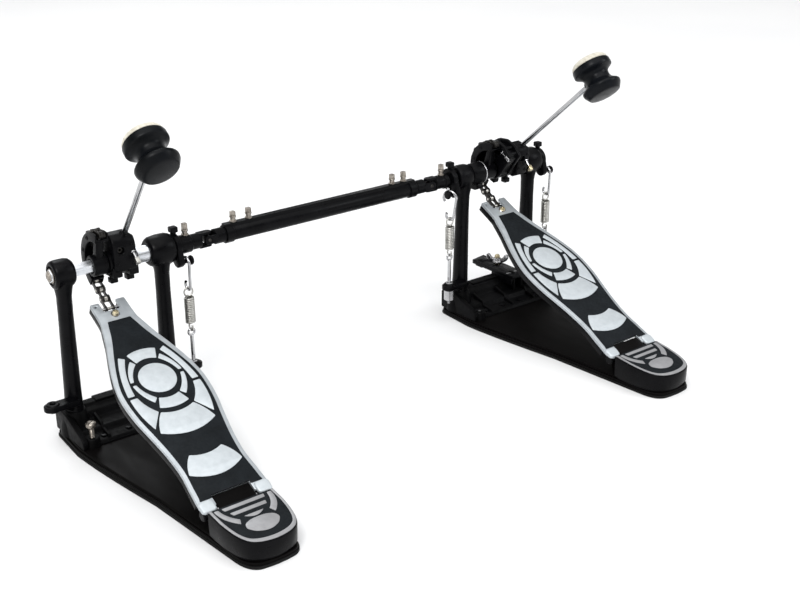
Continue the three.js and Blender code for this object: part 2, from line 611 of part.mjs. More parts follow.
function wingNut() {
  const { x, screwY, pivotZ } = CLAMP
  const seat = pivotZ + 4
  const hub = turnedZ([[seat, 0], [seat, 6.5], [seat + 3, 6], [seat + 8, 4.8], [seat + 8, 0]],
    16, x, screwY)
  const wings = [-1, 1].map(side => {
    const shape = polygon([[side * 3, seat + 1], [side * 8, seat + 2], [side * 15, seat + 9],
      [side * 14, seat + 14], [side * 9, seat + 12], [side * 3, seat + 6]])
    return solid(extrude(shape, 3).rotateX(Math.PI / 2).translate(x, screwY + 1.5, 0))
  })
  return union(hub, ...wings).subtract(rodZ(3.4, 20, 90, x, screwY, 14))
}

piece(main.group, 'clamp_jaw', clampJaw(), satinBlack())
piece(main.group, 'clamp_wing_nut', wingNut(), brightSteel())

// ---------------------------------------------------------------- drive line
// The hollow drive axle runs in the main pedal's left housing and ends in the drive hub.
const driveAxle = new THREE.Group()
driveAxle.position.z = AXLE_HEIGHT
const driveHub = union(
  turnedX([[-31.5, 0], [-31.5, 14], [-29, 16.5], [-13, 17.5], [-9.3, 17.5], [-9.3, 0]], 20),
  boxSolid([-24, -4, -24], [-17, 4, -15]))
piece(driveAxle, 'drive_hub', driveHub
  .subtract(rodX(HEX_RADIUS + GAP, -40, -23.5, 0, 0, 12))
  .subtract(rodX(4.8 + GAP, -23.6, 0, 0, 0, 12)), satinBlack())
piece(driveAxle, 'drive_spring_collar', springCollar('left', HEX_RADIUS), satinBlack())
main.group.add(driveAxle)

// A universal joint yoke: a hub that runs into two ears either side of the cross. Toward is +1
// where the cross lies on the +X side of the hub, and vertical ears stand above and below it.
function yoke(centre, toward, hubLength, vertical) {
  const EAR = { reach: 6, half: 3.4, radius: 9 }
  const near = centre - toward * 9
  const far = centre - toward * (9 + hubLength)
  const hub = rodX(EAR.radius, Math.min(near, far), Math.max(near, far), 0, 0, 16)
  const start = Math.min(near - toward, centre + toward * EAR.reach)
  const stop = Math.max(near - toward, centre + toward * EAR.reach)
  const blank = rodX(EAR.radius, start, stop, 0, 0, 16)
  const gapHalf = EAR.radius - EAR.half
  const [open0, open1] = toward > 0 ? [start + 1, stop + 5] : [start - 5, stop - 1]
  const across = (half0, half1) => vertical ? [[-20, half0], [20, half1]] : [[half0, -20], [half1, 20]]
  const cut = (x0, x1, [from, to]) => boxSolid([x0, ...from], [x1, ...to])
  const flank = side => vertical
    ? cut(start - 5, stop + 5, [[Math.min(5 * side, 20 * side), -20], [Math.max(5 * side, 20 * side), 20]])
    : cut(start - 5, stop + 5, [[-20, Math.min(5 * side, 20 * side)], [20, Math.max(5 * side, 20 * side)]])
  const throat = cut(open0, open1, across(-gapHalf, gapHalf))
  return union(hub, blank.subtract(throat).subtract(flank(1)).subtract(flank(-1)))
}

const line = new THREE.Group()
line.position.z = AXLE_HEIGHT

function cross(centre) {
  const armZ = rodZ(2.4, -8.6, 8.6, centre, 0, 8)
  const armY = new THREE.CylinderGeometry(2.4, 2.4, 17.2, 8).translate(centre, 0, 0)
  return union(boxSolid([centre - 3.6, -3.6, -3.6], [centre + 3.6, 3.6, 3.6]), armZ, solid(armY))
}

function yokeBore(body, centre, vertical) {
  const hole = vertical
    ? rodZ(2.8, -20, 20, centre, 0, 8)
    : solid(new THREE.CylinderGeometry(2.8, 2.8, 40, 8).translate(centre, 0, 0))
  return body.subtract(hole)
}

const mainUniversal = UNIVERSAL_X.main
const slaveUniversal = UNIVERSAL_X.slave
const slaveYoke = yokeBore(yoke(slaveUniversal, 1, 18, true), slaveUniversal, true)
const mainYoke = yokeBore(yoke(mainUniversal, -1, 20, true), mainUniversal, true)
piece(line, 'slave_axle_yoke', slaveYoke.subtract(rodX(5.9, 90, 120, 0, 0, 16)), satinBlack())
piece(line, 'slave_universal_cross', cross(slaveUniversal), brightSteel())
const fixedRod = hexX(DRIVE_ROD.radius, slaveUniversal + 17, TUBE.start + DRIVE_ROD.fixedOverlap)
piece(line, 'drive_rod_fixed', union(yokeBore(yoke(slaveUniversal, -1, 13, false), slaveUniversal, false),
  fixedRod), satinBlack())
const driveAxleStart = PEDAL_SPACING - 76
const driveAxleEnd = PEDAL_SPACING - 24
piece(line, 'drive_axle', mainYoke.add(hexX(HEX_RADIUS, driveAxleStart, driveAxleEnd)), satinBlack())
piece(line, 'drive_universal_cross', cross(mainUniversal), brightSteel())
const slidingRod = hexX(DRIVE_ROD.radius, DRIVE_ROD.slidingStart, mainUniversal - 17)
piece(line, 'drive_rod_sliding', union(yokeBore(yoke(mainUniversal, 1, 14, false), mainUniversal, false),
  slidingRod), satinBlack())
const rib = boxSolid([TUBE.start, -TUBE.ribHalf, 6], [TUBE.end, TUBE.ribHalf, TUBE.ribTop])
piece(line, 'drive_tube', union(rodX(TUBE.radius, TUBE.start, TUBE.end, 0, 0, 20), rib)
  .subtract(rodX(TUBE.bore, TUBE.start - 5, TUBE.end + 5, 0, 0, 14)), satinBlack())

// ---------------------------------------------------------------- the whole object
const pedals = new THREE.Group()
pedals.position.set(CENTRE_SHIFT.x, CENTRE_SHIFT.y, 0)
main.group.position.x = PEDAL_SPACING
pedals.add(slave.group, main.group, line)

export default pedals
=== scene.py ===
"""Looks of a twin bass drum pedal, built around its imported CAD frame.

Shapes are drawn in millimetres in the space of the part they belong to: a pedal's own space has
its origin on the floor under the axle, with X along the axle, Y towards the drum and Z up.
"""

import json
import math

import bmesh
import bpy
from mathutils import Matrix, Vector


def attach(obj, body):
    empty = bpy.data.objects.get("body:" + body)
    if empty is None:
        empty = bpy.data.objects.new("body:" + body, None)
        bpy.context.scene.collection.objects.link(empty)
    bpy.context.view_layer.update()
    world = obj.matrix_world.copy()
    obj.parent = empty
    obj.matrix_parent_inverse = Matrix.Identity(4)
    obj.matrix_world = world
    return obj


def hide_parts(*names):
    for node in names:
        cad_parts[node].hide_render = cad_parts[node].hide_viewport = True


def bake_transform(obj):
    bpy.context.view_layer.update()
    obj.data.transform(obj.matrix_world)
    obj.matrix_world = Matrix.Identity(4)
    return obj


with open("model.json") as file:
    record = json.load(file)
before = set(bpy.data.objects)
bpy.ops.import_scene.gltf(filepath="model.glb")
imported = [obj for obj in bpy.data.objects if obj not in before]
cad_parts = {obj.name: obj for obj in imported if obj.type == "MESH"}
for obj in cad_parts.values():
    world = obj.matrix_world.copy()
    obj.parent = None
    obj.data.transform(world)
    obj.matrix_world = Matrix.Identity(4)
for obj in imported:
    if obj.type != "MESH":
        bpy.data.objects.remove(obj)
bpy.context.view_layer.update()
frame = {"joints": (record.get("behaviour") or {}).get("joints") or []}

MM = 0.001
JOINTS = {j["name"]: j for j in frame["joints"]}
NOTHING = Matrix.Identity(4)


# ---------------------------------------------------------------- places
def joint_at(name):
    return Vector(JOINTS[name]["pos_m"])


def move(x=0.0, y=0.0, z=0.0):
    return Matrix.Translation((x, y, z))


def turn(degrees, axis):
    return Matrix.Rotation(math.radians(degrees), 4, axis)


def pedal_space(name):
    axle = joint_at(f"{name}_axle_turn")
    return Matrix.Translation((axle.x, axle.y, 0)) @ Matrix.Scale(MM, 4)


AXLE_HEIGHT = joint_at("slave_axle_turn").z / MM
HINGE_FROM_AXLE = (joint_at("slave_footboard_hinge") - joint_at("slave_axle_turn")) / MM
HINGE_Y = HINGE_FROM_AXLE.y
HINGE_Z = HINGE_FROM_AXLE.z + AXLE_HEIGHT
BOARD_ANGLE = 25.5

# Flat sketches stood up: SIDE is drawn in (Y, Z) and pushed out along X, ACROSS is the same with Y
# turned round, and FRONT is drawn in (X, Z) and pushed out along Y.
SIDE = Matrix(((0, 0, 1, 0), (1, 0, 0, 0), (0, 1, 0, 0), (0, 0, 0, 1)))
FRONT = Matrix(((1, 0, 0, 0), (0, 0, 1, 0), (0, 1, 0, 0), (0, 0, 0, 1)))
ACROSS = Matrix(((0, 0, 1, 0), (-1, 0, 0, 0), (0, 1, 0, 0), (0, 0, 0, 1)))

# Turned bodies are drawn along Z and laid along another axis.
ALONG_X = turn(90, "Y")
ALONG_MINUS_X = turn(-90, "Y")
ALONG_Y = turn(-90, "X")
AXLE = move(z=AXLE_HEIGHT)
ON_AXLE = AXLE @ ALONG_X


# ---------------------------------------------------------------- outlines
def direction(degrees):
    return math.cos(math.radians(degrees)), math.sin(math.radians(degrees))


def arc(cx, cy, radius, start, stop, steps=24):
    """Points round (cx, cy) from one angle in degrees to another."""
    angles = [math.radians(start + (stop - start) * k / steps) for k in range(steps + 1)]
    return [(cx + radius * math.cos(a), cy + radius * math.sin(a)) for a in angles]


def circle(radius, cx=0.0, cy=0.0, steps=40):
    return arc(cx, cy, radius, 0, 360 * (steps - 1) / steps, steps - 1)


def hexagon(radius):
    return circle(radius, steps=6)


def oval(x, y, z, half_width, half_depth, steps):
    angles = (2 * math.pi * k / steps for k in range(steps))
    return [(x + half_width * math.cos(a), y + half_depth * math.sin(a), z) for a in angles]


def sweep(start, span, steps):
    """Evenly spaced angles in radians."""
    return [start + span * k / steps for k in range(steps + 1)]


def curve(start, control, stop, steps=10):
    points = []
    for k in range(1, steps + 1):
        t = k / steps
        points.append(tuple((1 - t) ** 2 * a + 2 * t * (1 - t) * b + t * t * c
                            for a, b, c in zip(start, control, stop)))
    return points


def flow(points, steps=6):
    """A smooth open line through the points (Catmull-Rom)."""
    line = []
    for k in range(len(points) - 1):
        a, b, c, d = (Vector(points[min(max(k + i, 0), len(points) - 1)]) for i in (-1, 0, 1, 2))
        for i in range(steps):
            t = i / steps
            line.append(tuple(0.5 * ((2 * b) + (c - a) * t + (2 * a - 5 * b + 4 * c - d) * t * t
                                     + (3 * b - a - 3 * c + d) * t ** 3)))
    return line + [tuple(points[-1])]


def soften(points, radius, sharpest=24, steps=4):
    """Rounds the sharp corners of a closed outline."""
    made, count = [], len(points)
    for k, here in enumerate(points):
        p, a, b = Vector(here), Vector(points[k - 1]), Vector(points[(k + 1) % count])
        to_a, to_b = a - p, b - p
        if min(to_a.length, to_b.length) < 1e-6 or math.degrees((-to_a).angle(to_b)) < sharpest:
            made.append(tuple(p))
            continue
        start = p + to_a.normalized() * min(radius, to_a.length * 0.45)
        stop = p + to_b.normalized() * min(radius, to_b.length * 0.45)
        made += [tuple(start)] + curve(start, p, stop, steps)
    return made


def bulged(corners, radius):
    """A closed outline from (x, y, bulge) corners; the bulge is the next edge's sagitta."""
    points, steps = [], 10
    for k, (x, y, bulge) in enumerate(corners):
        a, b = Vector((x, y)), Vector(corners[(k + 1) % len(corners)][:2])
        points.append((x, y))
        if bulge:
            way = b - a
            side = Vector((way.y, -way.x)).normalized()
            for i in range(1, steps):
                t = i / steps
                points.append(tuple(a + way * t + side * (4 * bulge * t * (1 - t))))
    return soften(points, radius)


def mirror(right):
    return [(-x, y) for x, y in reversed(right)]


def both_sides(right):
    return right + mirror(right)


def span(side, near, far):
    """Two distances from the middle plane as low and high X, on side 1 or -1."""
    return sorted((side * near, side * far))


# ---------------------------------------------------------------- closed shells
def shell_from(rings, closed=False):
    """Joins rings of points into a closed skin; a ring of one point is a pole."""
    bm = bmesh.new()
    made = [[bm.verts.new(p) for p in ring] for ring in rings]
    pairs = list(zip(made, made[1:])) + ([(made[-1], made[0])] if closed else [])
    for a, b in pairs:
        count = max(len(a), len(b))
        for i in range(count):
            j = (i + 1) % count
            corners = [a[i % len(a)], a[j % len(a)], b[j % len(b)], b[i % len(b)]]
            distinct = list(dict.fromkeys(corners))
            if len(distinct) > 2:
                bm.faces.new(distinct)
    if not closed:
        for ring in (made[0], made[-1]):
            if len(ring) > 2:
                bm.faces.new(ring)
    bmesh.ops.recalc_face_normals(bm, faces=bm.faces)
    return bm


def lathe(profile, segments=48, closed=False):
    """A body turned about Z from (z, radius) points."""
    rings = []
    for z, radius in profile:
        if radius < 1e-6:
            rings.append([(0, 0, z)])
        else:
            rings.append([(x, y, z) for x, y in circle(radius, steps=segments)])
    return shell_from(rings, closed=closed)


def rod(radius, z0, z1, chamfer=0.3, segments=32):
    c = min(chamfer, radius * 0.4)
    return lathe([(z0, 0), (z0, radius - c), (z0 + c, radius),
                  (z1 - c, radius), (z1, radius - c), (z1, 0)], segments)


def ring_of(inner, outer, z0, z1, edge=0.4, segments=48):
    e = min(edge, (outer - inner) * 0.3, (z1 - z0) * 0.3)
    return lathe([(z0, inner + e), (z0, outer - e), (z0 + e, outer), (z1 - e, outer), (z1, outer - e),
                  (z1, inner + e), (z1 - e, inner), (z0 + e, inner)], segments, closed=True)


def slab(outline, z0, z1, edge=0.4, holes=(), rounds=1):
    """A flat plate of any outline, with rounded edges and any holes."""
    e = min(edge, (z1 - z0) * 0.45)
    sketch = bpy.data.curves.new("sketch", "CURVE")
    sketch.dimensions, sketch.fill_mode = "2D", "BOTH"
    sketch.extrude, sketch.bevel_depth, sketch.offset = (z1 - z0) / 2 - e, e, -e
    sketch.bevel_resolution = rounds
    for loop in (outline, *holes):
        spline = sketch.splines.new("POLY")
        spline.points.add(len(loop) - 1)
        spline.use_cyclic_u = True
        for point, (x, y) in zip(spline.points, loop):
            point.co = (x, y, 0, 1)
    holder = bpy.data.objects.new("sketch", sketch)
    mesh = bpy.data.meshes.new_from_object(holder)
    bm = bmesh.new()
    bm.from_mesh(mesh)
    bmesh.ops.remove_doubles(bm, verts=bm.verts, dist=1e-4)
    bm.transform(move(z=(z0 + z1) / 2))
    bmesh.ops.recalc_face_normals(bm, faces=bm.faces)
    bpy.data.objects.remove(holder)
    bpy.data.curves.remove(sketch)
    bpy.data.meshes.remove(mesh)
    return bm


def block(low, high, edge=0.8, segments=2):
    bm = bmesh.new()
    size = Vector(high) - Vector(low)
    bmesh.ops.create_cube(bm, size=1, matrix=Matrix.Translation((Vector(low) + Vector(high)) / 2)
                          @ Matrix.Diagonal((*size, 1)))
    e = min(edge, min(size) * 0.45)
    bmesh.ops.bevel(bm, geom=bm.edges[:], offset=e, segments=segments, affect="EDGES", profile=0.6)
    return bm


def wire(points, radius, sides=14, cyclic=False):
    """A round wire along a line; its section is carried along without twisting."""
    line = [Vector(p) for p in points]
    count = len(line)
    across, rings = None, []
    for k, p in enumerate(line):
        before = line[(k - 1) % count] if cyclic or k else p
        after = line[(k + 1) % count] if cyclic or k < count - 1 else p
        way = (after - before).normalized()
        if across is None:
            across = way.orthogonal().normalized()
        across = (across - way * across.dot(way)).normalized()
        other = way.cross(across)
        rings.append([tuple(p + across * (radius * math.cos(a)) + other * (radius * math.sin(a)))
                      for a in (2 * math.pi * i / sides for i in range(sides))])
    return shell_from(rings, closed=cyclic)


def carve(target, *tools):
    """Cuts closed shells out of a shell."""
    for tool in tools:
        objects = []
        for bm in (target, tool):
            mesh = bpy.data.meshes.new("carve")
            bm.to_mesh(mesh)
            bm.free()
            objects.append(bpy.data.objects.new("carve", mesh))
            bpy.context.scene.collection.objects.link(objects[-1])
        cut = objects[0].modifiers.new("cut", "BOOLEAN")
        cut.operation, cut.solver, cut.object = "DIFFERENCE", "EXACT", objects[1]
        done = objects[0].evaluated_get(bpy.context.evaluated_depsgraph_get())
        target = bmesh.new()
        target.from_mesh(done.data)
        for o in objects:
            mesh = o.data
            bpy.data.objects.remove(o)
            bpy.data.meshes.remove(mesh)
    return target


def moved(bm, matrix):
    bm.transform(matrix)
    return bm


class Piece:
    """One visible object, put together from shells drawn in the space's millimetres."""

    def __init__(self, name, body, space, slot=None, replaces=()):
        self.name, self.body, self.space, self.slot, self.replaces = name, body, space, slot, replaces
        self.bm, self.materials = bmesh.new(), []

    def add(self, shell, material, *places):
        if material not in self.materials:
            self.materials.append(material)
        index = self.materials.index(material)
        for face in shell.faces:
            face.material_index = index
            face.smooth = True
        for place in places or (NOTHING,):
            mesh = bpy.data.meshes.new("shell")
            shell.to_mesh(mesh)
            mesh.transform(self.space @ place)
            if place.determinant() < 0:
                mesh.flip_normals()
            self.bm.from_mesh(mesh)
            bpy.data.meshes.remove(mesh)
        shell.free()
        return self

    def done(self, sharp=32):
        """Makes the object; edges sharper than this many degrees stay crisp."""
        mesh = bpy.data.meshes.new(self.name)
        self.bm.to_mesh(mesh)
        self.bm.free()
        for material in self.materials:
            mesh.materials.append(material)
        mesh.set_sharp_from_angle(angle=math.radians(sharp))
        made = bpy.data.objects.new(self.name, mesh)
        bpy.context.scene.collection.objects.link(made)
        if self.body:
            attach(made, self.body)
        if self.replaces:
            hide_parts(*self.replaces)
        return made


def fine(node, body, space, slot):
    """The detailed piece that stands for a plain CAD node."""
    return Piece(f"{node}_fine", body, space, slot, [node])


# ---------------------------------------------------------------- materials
class Look:
    """A material whose colour, roughness and relief come from procedural textures.

    The colour and roughness given at the start show only in a viewer that reads no textures.
    """

    def __init__(self, name, colour, roughness, metallic=0.0, specular=0.5):
        self.material = bpy.data.materials.new(name)
        self.material.use_nodes = True
        self.nodes, self.links = self.material.node_tree.nodes, self.material.node_tree.links
        self.shader = self.nodes["Principled BSDF"]
        self.shader.inputs["Base Color"].default_value = (*colour, 1)
        self.shader.inputs["Roughness"].default_value = roughness
        self.shader.inputs["Metallic"].default_value = metallic
        self.shader.inputs["Specular IOR Level"].default_value = specular
        self.coordinates = self.nodes.new("ShaderNodeTexCoord")
        self.height = None

    def texture(self, kind, scale, stretch=(1, 1, 1)):
        mapping = self.nodes.new("ShaderNodeMapping")
        mapping.inputs["Scale"].default_value = stretch
        self.links.new(self.coordinates.outputs["Object"], mapping.inputs["Vector"])
        made = self.nodes.new(kind)
        made.inputs["Scale"].default_value = scale
        self.links.new(mapping.outputs["Vector"], made.inputs["Vector"])
        return made

    def noise(self, scale, detail, stretch=(1, 1, 1)):
        made = self.texture("ShaderNodeTexNoise", scale, stretch)
        made.inputs["Detail"].default_value = detail
        return made.outputs["Fac"]

    def cells(self, scale):
        return self.texture("ShaderNodeTexVoronoi", scale).outputs["Distance"]

    def ribs(self, scale):
        """Straight ribs that follow each other along Y."""
        made = self.texture("ShaderNodeTexWave", scale)
        made.bands_direction = "Y"
        return made.outputs["Fac"]

    def tint(self, source, dark, light, low=0.3, high=0.7):
        ramp = self.nodes.new("ShaderNodeValToRGB")
        ramp.color_ramp.elements[0].position, ramp.color_ramp.elements[1].position = low, high
        ramp.color_ramp.elements[0].color = (*dark, 1)
        ramp.color_ramp.elements[1].color = (*light, 1)
        self.links.new(source, ramp.inputs["Fac"])
        self.links.new(ramp.outputs["Color"], self.shader.inputs["Base Color"])
        return self

    def rough(self, source, smooth, coarse):
        spread = self.nodes.new("ShaderNodeMapRange")
        limits = {"From Min": 0.3, "From Max": 0.7, "To Min": smooth, "To Max": coarse}
        for socket, value in limits.items():
            spread.inputs[socket].default_value = value
        self.links.new(source, spread.inputs["Value"])
        self.links.new(spread.outputs["Result"], self.shader.inputs["Roughness"])
        return self

    def relief(self, source, strength, depth):
        bump = self.nodes.new("ShaderNodeBump")
        bump.inputs["Strength"].default_value = strength
        bump.inputs["Distance"].default_value = depth
        self.links.new(source, bump.inputs["Height"])
        if self.height:
            self.links.new(self.height, bump.inputs["Normal"])
        self.height = bump.outputs["Normal"]
        self.links.new(self.height, self.shader.inputs["Normal"])
        return self

    def sheen(self, weight, roughness):
        self.shader.inputs["Sheen Weight"].default_value = weight
        self.shader.inputs["Sheen Roughness"].default_value = roughness


def powder_coat():
    """Satin black powder coat over castings: a fine orange peel and slight mottling."""
    look = Look("satin_black", (0.004, 0.004, 0.005), 0.33, specular=0.08)
    look.tint(look.noise(38, 4), (0.0012, 0.0012, 0.0016), (0.0036, 0.0036, 0.0044))
    look.rough(look.noise(120, 4), 0.24, 0.40)
    return look.relief(look.noise(1300, 2), 0.10, 0.0002).material


def cast_black():
    """The base castings: coarser skin, duller paint."""
    look = Look("cast_black", (0.003, 0.003, 0.003), 0.5, specular=0.06)
    look.tint(look.noise(30, 5), (0.001, 0.001, 0.001), (0.003, 0.003, 0.0035))
    look.rough(look.noise(200, 4), 0.38, 0.58)
    look.relief(look.noise(700, 4), 0.22, 0.0003)
    return look.relief(look.cells(420), 0.08, 0.0002).material


def plate_black():
    """The sheet steel base plate: smooth semi-gloss paint with faint scuffs along its length."""
    look = Look("plate_black", (0.005, 0.005, 0.005), 0.36, specular=0.035)
    look.tint(look.noise(9, 5), (0.002, 0.0017, 0.0017), (0.0045, 0.004, 0.004))
    look.rough(look.noise(60, 6, (1, 0.25, 1)), 0.32, 0.48)
    return look.relief(look.noise(900, 2), 0.06, 0.0002).material


def gloss_black():
    """Moulded beater heads: deep gloss with light handling marks."""
    look = Look("beater_plastic", (0.004, 0.005, 0.006), 0.3, specular=0.10)
    look.tint(look.noise(25, 4), (0.002, 0.0025, 0.003), (0.005, 0.006, 0.008))
    look.rough(look.noise(90, 5), 0.24, 0.40)
    return look.relief(look.noise(500, 2), 0.05, 0.0002).material


def bright_steel():
    """Nickel plate with fine polishing lines."""
    look = Look("bright_steel", (0.74, 0.75, 0.76), 0.2, metallic=1.0)
    look.tint(look.noise(60, 4), (0.40, 0.40, 0.41), (0.60, 0.60, 0.61))
    look.rough(look.noise(150, 4), 0.10, 0.24)
    return look.relief(look.noise(1600, 2, (1, 1, 0.2)), 0.05, 0.0001).material


def drawn_steel():
    """The axles: satin steel drawn along X."""
    look = Look("drawn_steel", (0.72, 0.74, 0.77), 0.28, metallic=1.0)
    look.tint(look.noise(220, 4, (0.05, 1, 1)), (0.58, 0.60, 0.63), (0.80, 0.82, 0.85))
    look.rough(look.noise(500, 3, (0.04, 1, 1)), 0.24, 0.40)
    return look.relief(look.noise(900, 3, (0.03, 1, 1)), 0.12, 0.0002).material


def spring_steel():
    """Zinc plated spring wire."""
    look = Look("spring_steel", (0.60, 0.60, 0.58), 0.3, metallic=1.0)
    look.tint(look.noise(90, 4), (0.40, 0.395, 0.37), (0.60, 0.59, 0.56))
    look.rough(look.noise(260, 3), 0.26, 0.42)
    return look.relief(look.noise(1500, 2), 0.06, 0.0001).material


def worn_nickel():
    """Old nickel on key screws and bolts: warm grey with darker patches."""
    look = Look("worn_nickel", (0.32, 0.29, 0.25), 0.34, metallic=1.0)
    look.tint(look.noise(240, 5), (0.17, 0.15, 0.13), (0.46, 0.42, 0.37))
    look.rough(look.noise(420, 4), 0.24, 0.48)
    return look.relief(look.noise(1500, 3), 0.08, 0.0002).material


def chain_steel():
    """Blackened chain plates with oil; also laid on the wrapped links' rollers and pin ends as painted
    shade.
    """
    look = Look("chain_steel", (0.03, 0.028, 0.026), 0.35, metallic=0.85)
    look.tint(look.noise(300, 4), (0.014, 0.013, 0.013), (0.05, 0.047, 0.043))
    look.rough(look.noise(400, 3), 0.25, 0.5)
    return look.relief(look.noise(1400, 3), 0.12, 0.0002).material


def roller_steel():
    """Chain rollers and riveted pin ends, worn bright."""
    look = Look("roller_steel", (0.55, 0.53, 0.5), 0.26, metallic=1.0)
    look.tint(look.noise(400, 4), (0.36, 0.34, 0.31), (0.70, 0.68, 0.64))
    look.rough(look.noise(500, 3), 0.18, 0.4)
    return look.relief(look.noise(1800, 2), 0.06, 0.0001).material


def alloy():
    """The footboard's frame: satin cast aluminium, wiped along its length."""
    look = Look("board_aluminium", (0.60, 0.64, 0.67), 0.34, metallic=0.55)
    look.tint(look.noise(90, 5), (0.40, 0.43, 0.455), (0.49, 0.525, 0.55))
    look.rough(look.noise(300, 4, (1, 0.2, 1)), 0.28, 0.44)
    look.relief(look.noise(1100, 3), 0.14, 0.0002)
    return look.relief(look.noise(260, 3, (1, 0.1, 0.4)), 0.05, 0.0002).material


def tile_alloy():
    """The bare faces set in the grip: sand-cast aluminium, ground flat."""
    look = Look("tile_alloy", (0.72, 0.76, 0.78), 0.44, metallic=0.4)
    look.tint(look.noise(160, 6), (0.48, 0.52, 0.545), (0.58, 0.62, 0.645), 0.2, 0.8)
    look.rough(look.noise(350, 4), 0.36, 0.54)
    look.relief(look.cells(900), 0.10, 0.0002)
    return look.relief(look.noise(900, 4), 0.16, 0.0002).material


def heel_tile():
    """The heel plate's inlays, a shade greyer than the footboard's."""
    look = Look("heel_tile", (0.46, 0.46, 0.47), 0.42, metallic=0.4)
    look.tint(look.noise(160, 6), (0.29, 0.29, 0.30), (0.37, 0.37, 0.38), 0.2, 0.8)
    look.rough(look.noise(350, 4), 0.34, 0.54)
    return look.relief(look.noise(900, 4), 0.16, 0.0002).material


def grip():
    """The charcoal anti-slip coat: fine hard grains in rubber paint."""
    look = Look("grip", (0.013, 0.016, 0.019), 0.62, specular=0.12)
    look.tint(look.noise(60, 5), (0.0045, 0.006, 0.0075), (0.0085, 0.011, 0.0135))
    look.rough(look.noise(300, 4), 0.5, 0.72)
    look.relief(look.cells(1100), 0.35, 0.0002)
    return look.relief(look.noise(2200, 2), 0.20, 0.0001).material


def rubber():
    """The ribbed floor mat."""
    look = Look("floor_rubber", (0.007, 0.007, 0.007), 0.75, specular=0.15)
    look.tint(look.noise(40, 4), (0.004, 0.004, 0.004), (0.010, 0.010, 0.010))
    look.rough(look.noise(250, 4), 0.65, 0.85)
    look.relief(look.ribs(160), 0.25, 0.0003)
    return look.relief(look.noise(900, 4), 0.3, 0.0002).material


def brass():
    """Yellow passivated zinc on the chain bolt and stud."""
    look = Look("passivated_zinc", (0.72, 0.62, 0.40), 0.3, metallic=1.0)
    look.tint(look.noise(200, 5), (0.44, 0.37, 0.23), (0.70, 0.63, 0.45))
    look.rough(look.noise(400, 3), 0.2, 0.42)
    return look.relief(look.noise(1500, 2), 0.08, 0.0001).material


def felt():
    """Pressed wool felt: tangled fibres and a soft sheen."""
    look = Look("beater_felt", (0.62, 0.59, 0.51), 0.95, specular=0.1)
    look.tint(look.noise(260, 8, (1, 0.4, 1)), (0.48, 0.45, 0.37), (0.72, 0.69, 0.60), 0.25, 0.75)
    look.sheen(0.3, 0.5)
    look.rough(look.noise(500, 4), 0.85, 1.0)
    look.relief(look.noise(900, 8, (1, 0.3, 1)), 0.7, 0.0006)
    return look.relief(look.cells(700), 0.3, 0.0004).material


def pale_floor():
    """Plain light paper."""
    look = Look("pale_floor", (0.82, 0.82, 0.82), 0.8, specular=0.2)
    look.tint(look.noise(2, 3), (0.81, 0.81, 0.815), (0.83, 0.83, 0.83))
    return look.rough(look.noise(8, 3), 0.75, 0.85).material


SATIN, CAST, PLATE, GLOSS = powder_coat(), cast_black(), plate_black(), gloss_black()
STEEL, DRAWN, SPRING, WORN, BRASS = bright_steel(), drawn_steel(), spring_steel(), worn_nickel(), brass()
CHAIN, ROLLER, ALLOY, TILE, HEEL_TILE = chain_steel(), roller_steel(), alloy(), tile_alloy(), heel_tile()
GRIP, RUBBER, FELT = grip(), rubber(), felt()


# ---------------------------------------------------------------- fasteners
def hex_bolt(across, height):
    """A hexagon head standing on z = 0."""
    return slab(hexagon(across / math.sqrt(3)), 0, height, edge=0.5)


def square_head(half):
    return soften([(-half, -half), (half, -half), (half, half), (-half, half)], 0.8)


def square_screw(piece, place):
    """A black square-headed set screw with its neck, head up along Z."""
    piece.add(block((-4.4, -4.4, 3), (4.4, 4.4, 9.4), 1.3, 3), SATIN, place)
    piece.add(lathe([(-2, 0), (-2, 2.3), (3.4, 2.3), (3.4, 0)], 24), SATIN, place)
    collar = [(1.2, 0), (1.2, 3.1), (1.6, 3.4), (3.0, 3.4), (3.4, 3.0), (3.4, 0)]
    piece.add(lathe(collar, 24), SATIN, place)


def key_screw(piece, place, length):
    """A nickel screw for a drum key: turned collar, square key head."""
    stem = [(-2, 0), (-2, 2.8), (0, 2.8), (0.3, 4.0), (1.2, 4.4), (2.2, 4.1), (2.6, 3.2), (5.4, 3.2),
            (5.8, 3.9), (7.0, 4.1), (7.9, 3.7), (8.2, 3.1), (8.2, 0)]
    piece.add(lathe(stem, 32), WORN, place)
    piece.add(slab(square_head(2.8), 8.0, length, 0.7, rounds=2), WORN, place)


def long_key_screw(piece, place, tip):
    """A slim key screw standing well out of the part, with a square head at its end."""
    piece.add(rod(1.7, -2, 9, 0.3, 24), STEEL, place)
    piece.add(slab(square_head(2.7), 8.4, 15.5, 0.8, rounds=2), tip, place)
    piece.add(ring_of(1.7, 3.3, -0.4, 1.0, 0.3, 28), STEEL, place)


def thread(radius, z0, z1, pitch, sides=24):
    """A threaded shank, as rings of rounded ridges."""
    root = radius - 0.35
    profile = [(z0, 0), (z0, root)]
    z = z0
    while z + pitch < z1:
        profile += [(z + pitch * 0.35, radius), (z + pitch * 0.5, radius), (z + pitch * 0.85, root)]
        z += pitch
    return lathe(profile + [(z1, root), (z1, 0)], sides)


def knurled(radius, z0, z1):
    """A straight-knurled nut with chamfered ends."""
    teeth, depth, chamfer = 28, 0.35, 0.8
    def ring(z, outer):
        points = []
        for k in range(teeth * 2):
            a = math.pi * k / teeth
            r = outer - (depth if k % 2 else 0)
            points.append((r * math.cos(a), r * math.sin(a), z))
        return points
    return shell_from([ring(z0, radius - chamfer), ring(z0 + chamfer, radius),
                       ring(z1 - chamfer, radius), ring(z1, radius - chamfer)])


# ---------------------------------------------------------------- base
PLATE_TOP = 9.0
POST_X = {"left": -46.0, "right": 73.0}
POST_Y = -1
SPRING_X = {"left": -74.0, "right": 100.0}
SPRING_Y = -12.0
SPUR_Y = -43.0


